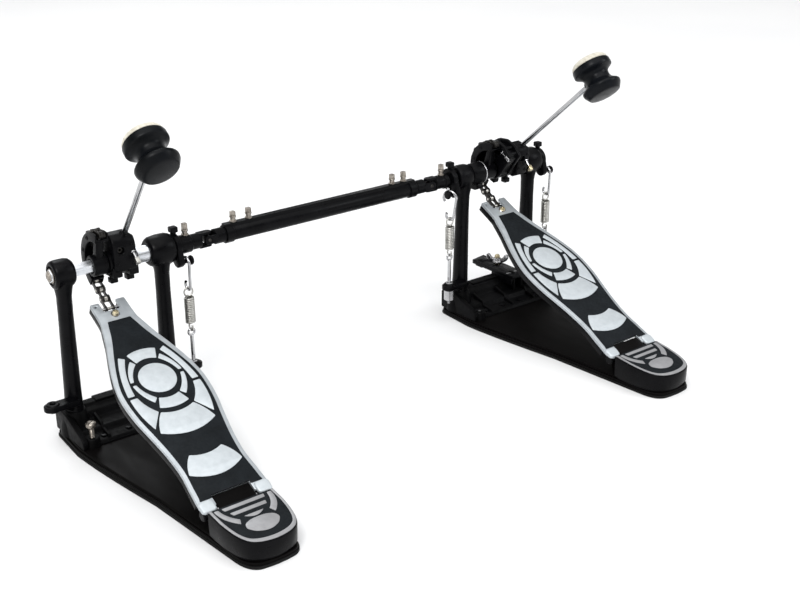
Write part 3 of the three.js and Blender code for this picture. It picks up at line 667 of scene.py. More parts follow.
def base_outline(grow):
    """The waisted base from above, wider on its right, grown or shrunk all round."""
    front, tail = 22 + grow, -345 - grow
    points = [(-60 - grow, 14), (-63 - grow, -40)]
    points += curve(points[-1], (-60 - grow, -90), (-44 - grow, -185))
    points.append((-32 - grow, -320))
    points += curve(points[-1], (-30 - grow, tail + 3), (-17 - grow / 2, tail))
    points += curve(points[-1], (0, tail - 3), (17 + grow / 2, tail), 4)
    points += curve(points[-1], (30 + grow, tail + 3), (32 + grow, -320))
    points.append((58 + grow, -185))
    points += curve(points[-1], (86 + grow, -90), (90 + grow, -40))
    points.append((87 + grow, 14))
    points += curve(points[-1], (86 + grow, front), (78, front), 6)
    points.append((-51, front))
    return points + curve(points[-1], (-59 - grow, front), (-60 - grow, 14), 6)[:-1]


def base(name, body, space):
    mat = fine(f"{name}_floor_mat", body, space, "floor_rubber")
    mat.add(slab(base_outline(1.2), 0, 2.9, 0.7, rounds=2), RUBBER)
    mat.done()
    plate = fine(f"{name}_base_plate", body, space, "satin_black")
    plate.add(slab(base_outline(0), 3.0, 6.4, 0.8, rounds=2), PLATE)
    plate.add(slab(base_outline(-2.2), 6.2, PLATE_TOP, 1.1, rounds=3), PLATE)
    plate.done()


def casting(name, body, space):
    """The front casting: stepped ridges between two wedge flanges, with spur lugs and bolts."""
    whole = fine(f"{name}_frame", body, space, "satin_black")
    low = PLATE_TOP
    ridges = soften([(20, low), (20, 29), (15, 36), (4, 36), (2, 33), (-6, 31), (-9, 23.5), (-12, 22),
                     (-27, 20.5), (-30, 15), (-46, 13.2), (-49, low)], 1.6)
    whole.add(slab(ridges, -55, 83, 0.8), CAST, SIDE)
    wedge = soften([(21, low), (21, 33), (14, 37.5), (6, 38), (-10, 35), (-44, 22.5), (-49.5, 17),
                    (-50, low)], 2.2)
    for x0, x1 in ((-60, -53.5), (81.5, 88)):
        whole.add(slab(wedge, x0, x1, 1.2, rounds=2), CAST, SIDE)
    rib = soften([(-8, low), (-8, 29), (-26, 24), (-29, 19), (-44, 17), (-46, low)], 1.0)
    for x in (-26, 14, 53):
        whole.add(slab(rib, x - 1.6, x + 1.6, 0.6), CAST, SIDE)
    whole.add(block((-18, 3, 34), (46, 16, 37.6), 1.0), CAST)
    socket = ((low, 17, 19), (22, 15.5, 17.5), (30, 13.5, 16), (36.5, 12.2, 14.8), (38, 11.2, 13.8))
    spur_lug = [(low, 0), (low, 9.5), (14, 8.6), (18.6, 7.8), (19.4, 7.0), (19.4, 0)]
    for x in POST_X.values():
        whole.add(shell_from([oval(x, POST_Y, z, rx, ry, 40) for z, rx, ry in socket]), CAST)
        lug = move(x, SPUR_Y)
        whole.add(lathe(spur_lug, 40), CAST, lug)
        if name == "slave":
            spur_bolt(whole, lug)
        else:
            whole.add(ring_of(2.6, 5.0, 19.2, 20.4), SATIN, lug)
            whole.add(rod(2.0, 18.0, 19.9, 0.2, 20), STEEL, lug)
    for x in (-30, 0, 30, 58):
        whole.add(hex_bolt(7, 2.4), SATIN, move(x, -38, 13.2))
    return whole


def spur_bolt(piece, place):
    """The slotted floor spur: threaded shank and a cheese head with a driver slot."""
    piece.add(thread(2.9, 19, 32.5, 1.3), WORN, place)
    cheese = [(32.2, 0), (32.2, 5.2), (32.7, 5.6), (36.4, 5.6), (37.2, 4.9), (37.6, 3.6), (37.6, 0)]
    slot = block((-6, -0.6, 36.2), (6, 0.6, 39), 0.05)
    piece.add(carve(lathe(cheese, 40), moved(slot, turn(35, "Z"))), WORN, place)


# A post's sections, as height and half axes, and its bearing housing, as distance along X and radius.
POST_SECTIONS = ((10, 11.6, 14), (30, 10.4, 13), (42, 9.6, 12.2), (60, 9.1, 11.6), (100, 8.6, 10.9),
                 (150, 7.9, 10.1), (172, 8.1, 10.4), (180, 9.2, 12.0), (188, 11.0, 14.2), (194, 11.6, 14.6))
HOUSING_X = {("slave", "left"): -54.0, ("main", "left"): -56.5, ("slave", "right"): 58.5,
             ("main", "right"): 58.5}
HOUSING = {
    "left": [(0, 10.6), (0, 13.0), (0.9, 14.6), (3.0, 15.8), (8, 16.2), (17, 16.1), (21.0, 15.0),
             (23.4, 12.8), (24.0, 11.6), (24.0, 9.0), (3.0, 9.0), (3.0, 10.6)],
    "right": [(0, 11.0), (0, 13.2), (1.4, 15.2), (4.5, 17.0), (14, 18.2), (24, 18.0), (28.4, 16.6),
              (29.4, 15.2), (29.4, 10.6), (2.2, 10.6), (2.2, 11.0)],
}


def post(name, side, body, space):
    """A tapered oval post that swells into its bearing housing, with the spring lug near its foot."""
    x = POST_X[side]
    left = side == "left"
    out = -1 if left else 1
    whole = fine(f"{name}_post_{side}", body, space, "satin_black")
    inward, lean_start, lean_height = (3.5 if left else 1.5), 30, 150
    rings = []
    for z, rx, ry in POST_SECTIONS:
        middle = x + inward * min(1.0, max(0.0, (z - lean_start) / lean_height))
        rings.append(oval(middle, POST_Y, z, rx, ry, 48))
    whole.add(shell_from(rings), SATIN)
    rim = move(HOUSING_X[name, side], 0, AXLE_HEIGHT) @ ALONG_X
    whole.add(lathe(soften(HOUSING[side], 0.8), 64, closed=True), SATIN, rim)
    if not left:
        whole.add(ring_of(10.0, 13.2, -0.5, 1.2), SATIN, rim)
    tip = SPRING_X[side] + out * 2
    lug = [(x, SPRING_Y - 8), *arc(tip, SPRING_Y, 8, -90, 90 if out > 0 else -270, 20), (x, SPRING_Y + 8)]
    hole = circle(2.9, SPRING_X[side], SPRING_Y, 24)
    whole.add(slab(lug, 48.5, 55, 1.2, [hole], 2), SATIN)
    whole.add(ring_of(2.9, 7.6, 47.2, 56.6, 1.2), SATIN, move(SPRING_X[side], SPRING_Y))
    web = soften([(0, 40), (0, 49.5), (out * 17, 49.5), (out * 10, 47)], 1.0)
    whole.add(slab(web, -2, 2, 0.6), SATIN, move(x + out * 6, SPRING_Y) @ FRONT)
    whole.done()


# ---------------------------------------------------------------- heel plate
HEEL_FRONT, HEEL_BACK, HEEL_RUN = 36.0, 28.8, 63
HEEL_SLOPE = math.degrees(math.atan2(HEEL_FRONT - HEEL_BACK, HEEL_RUN))
# The top starts to slope at HEEL_START, and the inlay begins a little in front of it.
HEEL_START, INLAY_START = -285, -280.6


def heel_outline(inset, front):
    right = [(36.8 - inset, front), (36.6 - inset, -300)]
    right += curve(right[-1], (34.6 - inset, -328), (27 - inset * 0.8, -338 + inset * 0.5))
    right += curve(right[-1], (19.5 - inset * 0.6, -347.5 + inset), (0, -348 + inset))
    return right + mirror(right[:-1])


def heel_top(y):
    return HEEL_FRONT + (HEEL_FRONT - HEEL_BACK) * min(0.0, y - HEEL_START) / HEEL_RUN


def heel_block(name, body, space):
    whole = fine(f"{name}_heel_plate", body, space, "satin_black")
    rings = []
    for inset, z in ((2.6, 7.0), (2.2, 9.4), (0.9, 10.0), (0.4, 11.0)):
        rings.append([(x, y, z) for x, y in heel_outline(inset, -280 - inset)])
    for inset, drop in ((0.0, 2.0), (0.3, 1.0), (0.9, 0.3), (1.8, 0.0)):
        rings.append([(x, y, heel_top(y) - drop) for x, y in heel_outline(inset, -280 - inset)])
    whole.add(shell_from(rings), SATIN)
    tongue = soften([(-286, 9.3), (-262, 9.3), (-258.6, 24), (-260.3, 39.0), (-276.3, 33.2), (-279.5, 35.6),
                     (-286, 35.6)], 1.2)
    whole.add(slab(tongue, -20.9, 20.9, 0.7), PLATE, SIDE)
    whole.done()


def heel_inlay(name, body, space):
    """The open rim, the grip and the bare tiles on the heel plate's sloping top."""
    top = Piece(f"{name}_heel_inlay", body, space)
    plane = move(0, HEEL_START, HEEL_FRONT + 0.02) @ turn(HEEL_SLOPE, "X")
    def here(points):
        return [(x, y - HEEL_START) for x, y in points]
    # The rim is a little wider round the back than along the sides.
    inner = [(x, y - min(0.0, y + 300) * 0.05) for x, y in heel_outline(3.6, INLAY_START)]
    top.add(slab(here(heel_outline(0.9, INLAY_START) + inner[::-1]), -0.5, 0.35, 0.2), HEEL_TILE, plane)
    top.add(slab(here(heel_outline(2.6, INLAY_START)), -0.6, 0.12, 0.1), GRIP, plane)
    arc_tile = bulged([(32.0, 1.8, -3.6), (19.2, -27.7, 0), (16.4, -21.0, 2.4), (27.3, 1.8, 0)], 0.8)
    back_tile = [(0, -25.6), (8, -26.0), (16.2, -29.5), (18.4, -36.5), (13, -43.8), (5, -47.6), (0, -48)]
    outlines = [bulged([(-22.4, -3.0, 0), (-23.6, 1.7, 0), (23.6, 1.7, 0), (22.4, -3.0, 0)], 0.8),
                bulged([(-18.4, -12.8, 0), (-20.0, -8.0, 0), (19.8, -8.0, 0), (18.6, -12.8, 0)], 0.8),
                bulged([(-10.6, -18.6, 4.8), (11.0, -18.6, 0)], 0.6),
                arc_tile, mirror(arc_tile), soften(both_sides(back_tile), 3.0, sharpest=12)]
    for outline in outlines:
        top.add(slab(outline, -0.4, 0.5, 0.2), HEEL_TILE, plane)
    top.done()


def hinge_pin(name, body, space):
    pin = fine(f"{name}_hinge_pin", body, space, "bright_steel")
    pin.add(rod(2.9, -39, 39, 0.6), STEEL, move(0, HINGE_Y, HINGE_Z) @ ALONG_X)
    pin.done()


# ---------------------------------------------------------------- footboard
BOARD_TOP = 5.0
BOARD_LENGTH = 289.0
NOTCH = (21.6, 15.5)
SLOT = (9.8, 275.0)
BOLT_ALONG, CLEVIS_ALONG = 268, 281
BOARD_STATIONS = [(10, 39.3), (28, 38), (50, 36.4), (75, 38.3), (100, 42.3), (125, 46.8), (150, 48.6),
                  (170, 47), (190, 42.3), (210, 36.1), (230, 29.2), (250, 23.6), (262, 20.9), (289, 20.3)]
BOARD_EDGE = [(half, along) for along, half in flow(BOARD_STATIONS, 5)]


def rim_width(along):
    """The bare rim beside the grip, which widens towards the toe."""
    return 4.4 + 3.3 * min(1.0, max(0.0, (along - 165) / 75))


def board_space(space):
    return space @ move(0, HINGE_Y, HINGE_Z) @ turn(BOARD_ANGLE, "X")


# Tiles let into the grip, as (x, distance from the hinge, bulge of the next edge).
CENTRE = 169.4
TILES_MIDDLE = [
    [(-16.7, 208.0, -3.4), (16.7, 208.0, 0), (11.6, 194.6, 3.0), (-11.6, 194.6, 0)],
    [(-16.8, 131.4, 3.4), (16.8, 131.4, 0), (11.5, 144.2, -2.6), (-11.5, 144.2, 0)],
    [(-31.4, 101.3, 9.0), (31.4, 101.3, 1.6), (18.6, 126.0, -4.4), (-18.6, 126.0, 1.6)],
    [(-30.1, 43.4, 9.4), (30.1, 43.4, 1.8), (18.3, 66.0, -4.2), (-18.3, 66.0, 1.8)],
]
TILES_RIGHT = [
    [(25.6, 171.8, 0), (29.6, 171.8, 2.2), (17.2, 199.2, 0), (13.0, 193.8, -1.9)],
    [(17.8, 139.4, 2.4), (29.4, 167.6, 0), (25.4, 167.6, -2.0), (13.0, 145.0, 0)],
    [(33.0, 155.0, 0), (40.5, 155.0, 2.4), (26.4, 208.0, 0), (20.2, 204.2, -3.0)],
    [(33.6, 108.0, 2.2), (40.3, 151.6, 0), (32.0, 151.6, -2.0), (20.2, 127.4, 0)],
]


def board_frame(name, body, board):
    """The cast board with its toe slot, heel notch and two knuckle pads."""
    metal = Piece(f"{name}_footboard_frame", body, board, "board_aluminium", [f"{name}_footboard"])
    right = [(NOTCH[0], NOTCH[1]), (NOTCH[0], 3), (39.3, 3)] + BOARD_EDGE
    right += [(SLOT[0], BOARD_LENGTH), SLOT]
    hole = circle(1.5, -15.6, 284, 16)
    metal.add(slab(soften(both_sides(right), 1.6), 1.0, BOARD_TOP, 0.8, [hole], 2), ALLOY)
    for side in (-1, 1):
        x0, x1 = span(side, 23.2, 39.8)
        pad = soften([(x0, -3.4), (x1, -3.4), (x1, 11.2), (x0, 11.2)], 5.2, steps=8)
        metal.add(slab(pad, 1.6, 6.9, 2.4, rounds=4), TILE)
    metal.done()


def board_flange(name, body, board):
    """The black underside: a wall round the edge, cross ribs, knuckles, spine and clevis."""
    flange = Piece(f"{name}_footboard_flange", body, board)
    knuckle_gap = 11
    edge = [(half, along) for half, along in BOARD_EDGE if along > knuckle_gap]
    outside, inside = ([(half - inset, along) for half, along in edge] for inset in (0.7, 3.1))
    band = soften(outside + inside[::-1], 0.6)
    flange.add(slab(band, -7.5, 2.2, 0.6), SATIN)
    flange.add(slab(mirror(band), -7.5, 2.2, 0.6), SATIN)
    for along in (30, 70, 118, 160, 205, 245):
        half = min(BOARD_EDGE, key=lambda p: abs(p[1] - along))[0] - 2
        flange.add(block((-half, along - 1.4, -4), (half, along + 1.4, 1.4), 0.5), SATIN)
    for side in (-1, 1):
        knuckle = rod(5.6, *span(side, 22.4, 39.2), 1.0, 40)
        flange.add(knuckle, SATIN, move(0, 0, -1.2) @ ALONG_X)
    flange.add(block((-1.6, 30, -4.5), (1.6, 262, 1.4), 0.5), SATIN)
    flange.add(block((-18.5, 262, -6.5), (18.5, 273.5, 1.4), 1.0), SATIN)
    for side in (-1, 1):
        x0, x1 = span(side, 9.8, 13.4)
        flange.add(block((x0, 270, -6.5), (x1, 286, 2.0), 0.8), SATIN)
    flange.done()


def board_grip(name, body, board):
    coat = Piece(f"{name}_footboard_grip", body, board)
    heel_end, toe_end = 13, 258
    edge = [(half - rim_width(along), along) for half, along in BOARD_EDGE if heel_end < along < toe_end]
    right = [(21.9, 15.2), (21.9, 11.6), (35.6, 11.6)] + edge + [(13.3, 259.4)]
    coat.add(slab(soften(both_sides(right), 1.2), BOARD_TOP - 0.9, BOARD_TOP + 0.3, 0.15), GRIP)
    coat.done()


def board_tiles(name, body, board):
    tiles = Piece(f"{name}_footboard_tiles", body, board, "board_aluminium")
    level = (BOARD_TOP, BOARD_TOP + 0.75, 0.3)
    tiles.add(slab(circle(20.1, 0, CENTRE, 72), *level, rounds=2), TILE)
    for corners in TILES_MIDDLE:
        tiles.add(slab(bulged(corners, 1.3), *level, rounds=2), TILE)
    for corners in TILES_RIGHT:
        outline = bulged(corners, 1.1)
        tiles.add(slab(outline, *level, rounds=2), TILE)
        tiles.add(slab(mirror(outline), *level, rounds=2), TILE)
    tiles.done()


def chain_bolt(name, body, board):
    """The bolt through the toe, and the pin that the chain's last link hangs on."""
    bolt = Piece(f"{name}_chain_bolt", body, board)
    here = move(0, BOLT_ALONG)
    bolt.add(ring_of(1.5, 4.9, BOARD_TOP - 0.2, BOARD_TOP + 0.9), STEEL, here)
    bolt.add(moved(hex_bolt(6.4, 3.0), move(z=BOARD_TOP + 0.8)), BRASS, here)
    bolt.add(rod(1.9, BOARD_TOP, BOARD_TOP + 4.6, 0.3, 24), BRASS, here)
    bolt.add(rod(1.7, -15.5, 15.5, 0.3, 24), STEEL, move(0, CLEVIS_ALONG, 1) @ ALONG_X)
    bolt.done()


def footboard(name, body, space):
    board = board_space(space)
    for make in (board_frame, board_flange, board_grip, board_tiles, chain_bolt):
        make(name, body, board)


# ---------------------------------------------------------------- chain
CHAIN_PITCH, CHAIN_RADIUS, FREE_LINKS, MOVING_LINKS, WRAPPED_LINKS = 12.7, 34.0, 3, 3, 4
CAM_Y = -10.0


def board_point(along, up):
    """A point on the resting board in (Y, Z)."""
    c, s = direction(BOARD_ANGLE)
    return Vector((HINGE_Y + along * c - up * s, HINGE_Z + along * s + up * c))


CLEVIS = board_point(CLEVIS_ALONG, 1)
CAM_REACH = math.hypot(CHAIN_RADIUS, FREE_LINKS * CHAIN_PITCH)
CAM_CENTRE = Vector((CAM_Y, CLEVIS.y + math.sqrt(CAM_REACH ** 2 - (CLEVIS.x - CAM_Y) ** 2)))
TILT = math.atan2(CAM_Y - CLEVIS.x, CAM_CENTRE.y - CLEVIS.y) + math.asin(CHAIN_RADIUS / CAM_REACH)
LINK_TURN = 2 * math.asin(CHAIN_PITCH / (2 * CHAIN_RADIUS))


def cam_pin(k):
    """The kth chain pin round the cam, in (Y, Z); pin 0 is where the chain hangs free."""
    angle = -TILT + k * LINK_TURN
    return CAM_CENTRE + CHAIN_RADIUS * Vector((math.cos(angle), math.sin(angle)))


def strand_pin(k):
    return cam_pin(0) - k * CHAIN_PITCH * Vector((math.sin(TILT), math.cos(TILT)))


def waisted(radius, waist):
    """A chain plate's outline: round ends and a narrow waist, from pin (0, 0) to pin (pitch, 0)."""
    left = arc(0, 0, radius, 60, 300, 16)
    right = arc(CHAIN_PITCH, 0, radius, -120, 120, 16)
    middle = CHAIN_PITCH / 2
    below = curve(left[-1], (middle, -waist), right[0], 8)[:-1]
    above = curve(right[-1], (middle, waist), left[0], 8)[:-1]
    return left + below + right + above


def link(piece, start, stop, outer, pin=ROLLER):
    """One link between two pins: an outer link has riveted pins, an inner one rollers and bushes."""
    way = stop - start
    place = SIDE @ move(start.x, start.y) @ turn(math.degrees(math.atan2(way.y, way.x)), "Z")
    gaps = (3.7, 4.9) if outer else (2.2, 3.4)
    outline = waisted(4.2, 1.6 if outer else 2.0)
    for near, far in (gaps, (-gaps[1], -gaps[0])):
        piece.add(slab(outline, near, far, 0.25), CHAIN, place)
    for along in (0, CHAIN_PITCH):
        if outer:
            piece.add(rod(1.72, -5.4, 5.4, 0.35, 20), pin, place @ move(along))
        else:
            piece.add(ring_of(2.1, 3.9, -2.15, 2.15, 0.5, 28), pin, place @ move(along))


def chain(name, space):
    """The wrap on the cam, the links that unwind one by one, and the free strand to the board."""
    pins = [cam_pin(k) for k in range(MOVING_LINKS + WRAPPED_LINKS + 1)]
    wrap = fine(f"{name}_chain_wrap", f"{name}_axle_body", space, "chain_steel")
    # The wrapped links take the dark plate steel for their rollers and pin ends too: painted shade where
    # the chain lies in the cam's groove.
    for k in range(MOVING_LINKS, MOVING_LINKS + WRAPPED_LINKS):
        link(wrap, pins[k], pins[k + 1], k % 2 == 1, CHAIN)
    wrap.done()
    for k in range(MOVING_LINKS, 0, -1):
        one = fine(f"{name}_chain_link_{k}", f"{name}_link_{k}_body", space, "chain_steel")
        link(one, pins[k - 1], pins[k], k % 2 == 0)
        one.done()
    strand = fine(f"{name}_chain_strand", f"{name}_strand_body", space, "chain_steel")
    for k in range(FREE_LINKS):
        link(strand, strand_pin(k), strand_pin(k + 1), k % 2 == 0)
    strand.done()


# ---------------------------------------------------------------- cam
HEX_RADIUS = 7.5
SLEEVE_RADIUS = 9.5


def cam(name, body, space):
    """A grooved arch for the chain, open in the middle, on two spokes from its boss."""
    whole = fine(f"{name}_cam", body, space, "satin_black")
    start = math.degrees(-TILT) - 7
    stop = start + 7.5 * math.degrees(LINK_TURN)
    y, z = CAM_CENTRE
    inner, groove, outer, eyelets = 25.0, 28.6, 35.4, 30
    def sector(low, high):
        return soften(arc(y, z, high, start, stop, 48) + arc(y, z, low, stop, start, 36), 1.6)
    for x0, x1 in ((-7.6, -5.8), (5.8, 7.6)):
        whole.add(slab(sector(inner, outer), x0, x1, 0.7, rounds=2), SATIN, SIDE)
    whole.add(slab(sector(inner + 0.6, groove), -6.5, 6.5, 0.3), SATIN, SIDE)
    for angle in (start + 15, stop - 18):
        c, s = direction(angle)
        u, v = y + inner * c, z + inner * s
        spoke = [(-6 * s, AXLE_HEIGHT + 6 * c), (u - 4 * s, v + 4 * c), (u + 4 * s, v - 4 * c),
                 (6 * s, AXLE_HEIGHT - 6 * c)]
        whole.add(slab(soften(spoke, 1.0), -4.4, 4.4, 1.2, rounds=2), SATIN, SIDE)
    whole.add(ring_of(HEX_RADIUS + 0.2, 11.8, -8.6, 8.6, 1.0, 56), SATIN, ON_AXLE)
    for k in (1.5, 3.5, 5.5):
        angle = math.radians(start) + k * LINK_TURN
        spot = move(-7.7, y + eyelets * math.cos(angle), z + eyelets * math.sin(angle)) @ ALONG_X
        whole.add(ring_of(1.4, 2.6, -0.5, 0.3, 0.2, 24), SATIN, spot)
    whole.done()


# ---------------------------------------------------------------- axle and hub
BEATER_ROD_RADIUS = 3.2
BEATER_ROD_LENGTH = 205.0
BEATER_ROD_OFFSET = 12


def rod_space(space, x, lean):
    return space @ AXLE @ move(x) @ turn(lean, "X") @ move(0, BEATER_ROD_OFFSET)


def axle(name, body, space):
    whole = fine(f"{name}_axle", body, space, "bright_steel")
    start = -56.0 if name == "slave" else -7.0
    joint = 44.0 if name == "slave" else 60.0
    whole.add(slab(hexagon(HEX_RADIUS), start, joint, 0.5), DRAWN, ON_AXLE)
    whole.add(lathe([(joint - 1, 0), (joint - 1, 8.4), (joint, 9.2), (joint + 0.6, SLEEVE_RADIUS),
                     (99.4, SLEEVE_RADIUS), (100, 9.0), (100, 0)], 56), DRAWN, ON_AXLE)
    if name == "slave":
        end = AXLE @ move(-55.2) @ ALONG_MINUS_X
        whole.add(ring_of(3.0, 8.0, -2.4, -0.6, 0.4), WORN, end)
        whole.add(moved(hex_bolt(11.6, 3.0), move(z=-0.8)), WORN, end)
        whole.add(lathe([(2.0, 0), (2.0, 4.0), (3.0, 3.8), (3.4, 3.0), (3.5, 0)], 32), WORN, end)
        whole.add(rod(5.6, 99, 119, 0.4), DRAWN, ON_AXLE)
    else:
        whole.add(rod(4.8, -20, -6, 0.4), DRAWN, ON_AXLE)
    whole.done()


BLOCK_LEAN = 37.8
BLOCK_FACE = -17.8
HOLE_Z = 16.6


def clamp_block(piece, sleeve, x0, x1, rod_x, hole_x, lean, tip):
    """The beater clamp: a chamfered block that leans with the rod, its sleeve and its screws."""
    upright = AXLE @ turn(lean - BLOCK_LEAN, "X")
    profile = [(-17.5, -7), (-18, 20), (-15.5, 27), (-9.5, 32.5), (1, 34.5), (10, 28), (16, 9),
               (13, -10), (-10, -13)]
    body = moved(slab(soften(profile, 2.4), x0, x1, 1.5, rounds=2), SIDE)
    corner = moved(block((-9, -30, -9), (9, 30, 9), 0.1), move(x1 + 3.4, 0, 38) @ turn(38, "Y"))
    mouth = move(hole_x, BLOCK_FACE, HOLE_Z) @ turn(90, "X")
    pocket = moved(rod(3.9, -6, 12, 0.1, 32), mouth)
    def bore():
        hole = rod(BEATER_ROD_RADIUS + 0.15, -60, 60, 0.1, 32)
        return moved(hole, turn(BLOCK_LEAN, "X") @ move(rod_x, BEATER_ROD_OFFSET))
    piece.add(carve(body, corner, pocket, bore()), SATIN, upright)
    ring = moved(ring_of(HEX_RADIUS + 0.2, 13.6, *sleeve, 1.4, 64), ALONG_X)
    piece.add(carve(ring, bore()), SATIN, upright)
    rim = upright @ mouth
    piece.add(ring_of(4.0, 5.3, -0.8, 0.9, 0.5), SATIN, rim)
    piece.add(ring_of(1.6, 3.4, -4.6, -2.4, 0.4, 6), CHAIN, rim)
    for x, z in ((x0 + 3.6, 2.0), (x1 - 4.0, 20.5), (x1 - 4.0, -1.0)):
        eyelet = upright @ move(x, BLOCK_FACE + 0.1, z) @ turn(90, "X")
        piece.add(ring_of(0.9, 2.2, -0.5, 0.6, 0.2, 24), SATIN, eyelet)
    long_key_screw(piece, upright @ move(x1 - 3.4, -16.4, 11.5) @ turn(90 + BLOCK_LEAN, "X"), tip)
    collar = AXLE @ turn(lean, "X") @ move(rod_x, BEATER_ROD_OFFSET, 27)
    piece.add(ring_of(BEATER_ROD_RADIUS + 0.1, 5.4, -1, 4.4, 0.9, 40), SATIN, collar)


def slave_hub(piece, beater):
    """The slave pedal's clamp, on two lugs with set screws."""
    clamp_block(piece, (9.2, 38.4), 11.5, 38, beater["x"], 20, beater["lean"], SPRING)
    for x in (15.0, 34.5):
        lug = AXLE @ move(x) @ turn(176, "X")
        piece.add(block((-5.4, -9, 4), (5.4, 16, 15.4), 1.6, 3), SATIN, lug)
        square_screw(piece, lug @ move(0, 0, 14.4))


def main_hub(piece, beater):
    """The main pedal's clamp, beside a drum of two plates and a core with a curved window."""
    clamp_block(piece, (38.5, 57.6), 38.5, 57.5, beater["x"], 44.6, beater["lean"], BRASS)
    long_key_screw(piece, AXLE @ move(10.8, -19, 27) @ turn(122, "X"), STEEL)
    drum_y, drum_z, rim, pins, core_scale = -4, 4, 36.5, 31.4, 0.84
    drum = soften(arc(drum_y, drum_z, rim, -28, 149, 7) + [(-14, -6), (-6, -13), (10, -12)], 3.0)
    core = [(drum_y + (u - drum_y) * core_scale, drum_z + (v - drum_z) * core_scale) for u, v in drum]
    window = [soften(arc(-3, 6, 25, 15, 120, 30) + arc(-3, 6, 17, 120, 15, 20), 2.0)]
    for x0, x1, holes in ((9.2, 13.6, window), (25.6, 30, ())):
        piece.add(slab(drum, x0, x1, 1.2, holes, 2), SATIN, AXLE @ SIDE)
    piece.add(slab(core, 13, 26, 1.0, window, 2), SATIN, AXLE @ SIDE)
    piece.add(ring_of(HEX_RADIUS + 0.2, 13.5, 9.2, 39.5, 1.0), SATIN, ON_AXLE)
    square_screw(piece, AXLE @ move(34) @ turn(180, "X") @ move(0, 0, 13))
    square_screw(piece, AXLE @ move(19.6) @ turn(200, "X") @ move(0, 0, 12))
    for angle in (-12, 32, 76, 120, 138):
        c, s = direction(angle)
        spot = AXLE @ move(0, drum_y + pins * c, drum_z + pins * s) @ ALONG_X
        piece.add(rod(2.6, 8.6, 30.8, 0.5, 24), SATIN, spot)


def hub(name, body, space, beater):
    whole = fine(f"{name}_hub", body, space, "satin_black")
    if name == "slave":
        slave_hub(whole, beater)
    else:
        main_hub(whole, beater)
    whole.done()


# The pin that a spring's hook hangs on, as Y and Z from the axle.
HANGER = (-12.0, -16.0)


def spring_collar(node, body, space, side, bore, x_near):
    """A clamping collar with a square set screw on top and the hanger pin for the spring."""
    out, outward = (-1, ALONG_MINUS_X) if side == "left" else (1, ALONG_X)
    whole = fine(node, body, space, "satin_black")
    whole.add(ring_of(bore + 0.3, 14.8, 0.1, 7.2, 1.1, 64), SATIN, AXLE @ move(x_near) @ outward)
    web = soften([(-14.2, 1), (3, -14.2), (-5.6, -22.2), (-12, -22.6), (-18.4, -16.5)], 3.4, steps=6)
    x0, x1 = sorted((x_near, x_near + out * 7.0))
    whole.add(slab(web, x0, x1, 1.1, rounds=2), SATIN, AXLE @ SIDE)
    pin = [(6, 0), (6, 2.6), (14.9, 2.6), (15.0, 4.4), (15.8, 5.4), (17.6, 5.6), (18.7, 4.9), (19.0, 3.6),
           (19.0, 0)]
    whole.add(lathe(pin, 36), SATIN, AXLE @ move(x_near, *HANGER) @ outward)
    square_screw(whole, AXLE @ move(x_near + out * 3.6, 0, 14))
    bolt = moved(hex_bolt(5.5, 2.2), move(z=6.9))
    whole.add(bolt, STEEL, AXLE @ move(x_near, -3.5, -11.5) @ outward)
    whole.done()


# ---------------------------------------------------------------- beater
def beater(name, space, spec):
    """A rod that slides in its clamp, a waisted plastic head on it and a felt dome facing the drum."""
    body = f"{name}_beater_body"
    lean = rod_space(space, spec["x"], spec["lean"])
    reach = spec["reach"]
    shaft = fine(f"{name}_beater_rod", body, lean, "bright_steel")
    rod_end = reach + 8
    shaft.add(rod(BEATER_ROD_RADIUS, rod_end - BEATER_ROD_LENGTH, rod_end, 0.8, 40), STEEL)
    shaft.done()
    head = fine(f"{name}_beater_head", body, lean, "beater_plastic")
    back = [(-24.6, 0), (-24.3, 8), (-23.5, 15.6), (-23.0, 18.6), (-22.5, 19.9), (-21.9, 20.5),
            (-16.4, 23.9), (-15.6, 24.3), (-13.6, 24.7), (-12.2, 24.7), (-11.6, 24.4)]
    waist = flow([(-10.6, 23.6), (-8.4, 20.4), (-5.4, 17.6), (-2.0, 16.3), (2.0, 16.2), (5.4, 17.6),
                  (7.8, 20.4), (9.6, 23.4)], 4)
    rim = [(10.4, 24.4), (11.4, 24.7), (17.2, 24.5), (18.4, 24.0), (19.0, 22.8), (19.0, 0)]
    facing = move(z=reach) @ ALONG_Y
    head.add(lathe(back + waist + rim, 72), GLOSS, facing)
    head.add(ring_of(3.2, 6.0, -19.5, -14.0, 0.8), GLOSS, move(z=reach))
    head.done()
    pad = fine(f"{name}_beater_felt", body, lean, "beater_felt")
    dome = [(18.6, 0), (18.6, 22.6), (19.4, 23.4), (21.6, 23.2), (24.2, 21.6), (26.4, 18.2), (28.0, 12.8),
            (28.8, 6.4), (29.0, 0)]
    pad.add(fibrous(lathe(dome[:2] + flow(dome[2:], 5), 96), 0.22), FELT, facing)
    pad.done(60)


def fibrous(shell, depth):
    """Roughens a turned felt surface above its rim with a fixed pattern of small lumps."""
    rim = 19.5
    for vertex in shell.verts:
        x, y, z = vertex.co
        if z > rim:
            lump = math.sin(x * 2.9 + y * 1.7) * math.sin(y * 3.1 - z * 2.3)
            lump += 0.6 * math.sin(x * 5.3 - y * 4.1 + z)
            vertex.co.z += depth * 0.5 * lump
    return shell


# ---------------------------------------------------------------- return springs
# Heights in a return spring, which stands at its own X over the lug of its post.
ROD_EYE, LOWER_LOOP, COIL_LOW, COIL_HIGH, UPPER_RING, HOOK_BEND = 94.0, 100.0, 106.2, 137.2, 143.8, 152.0


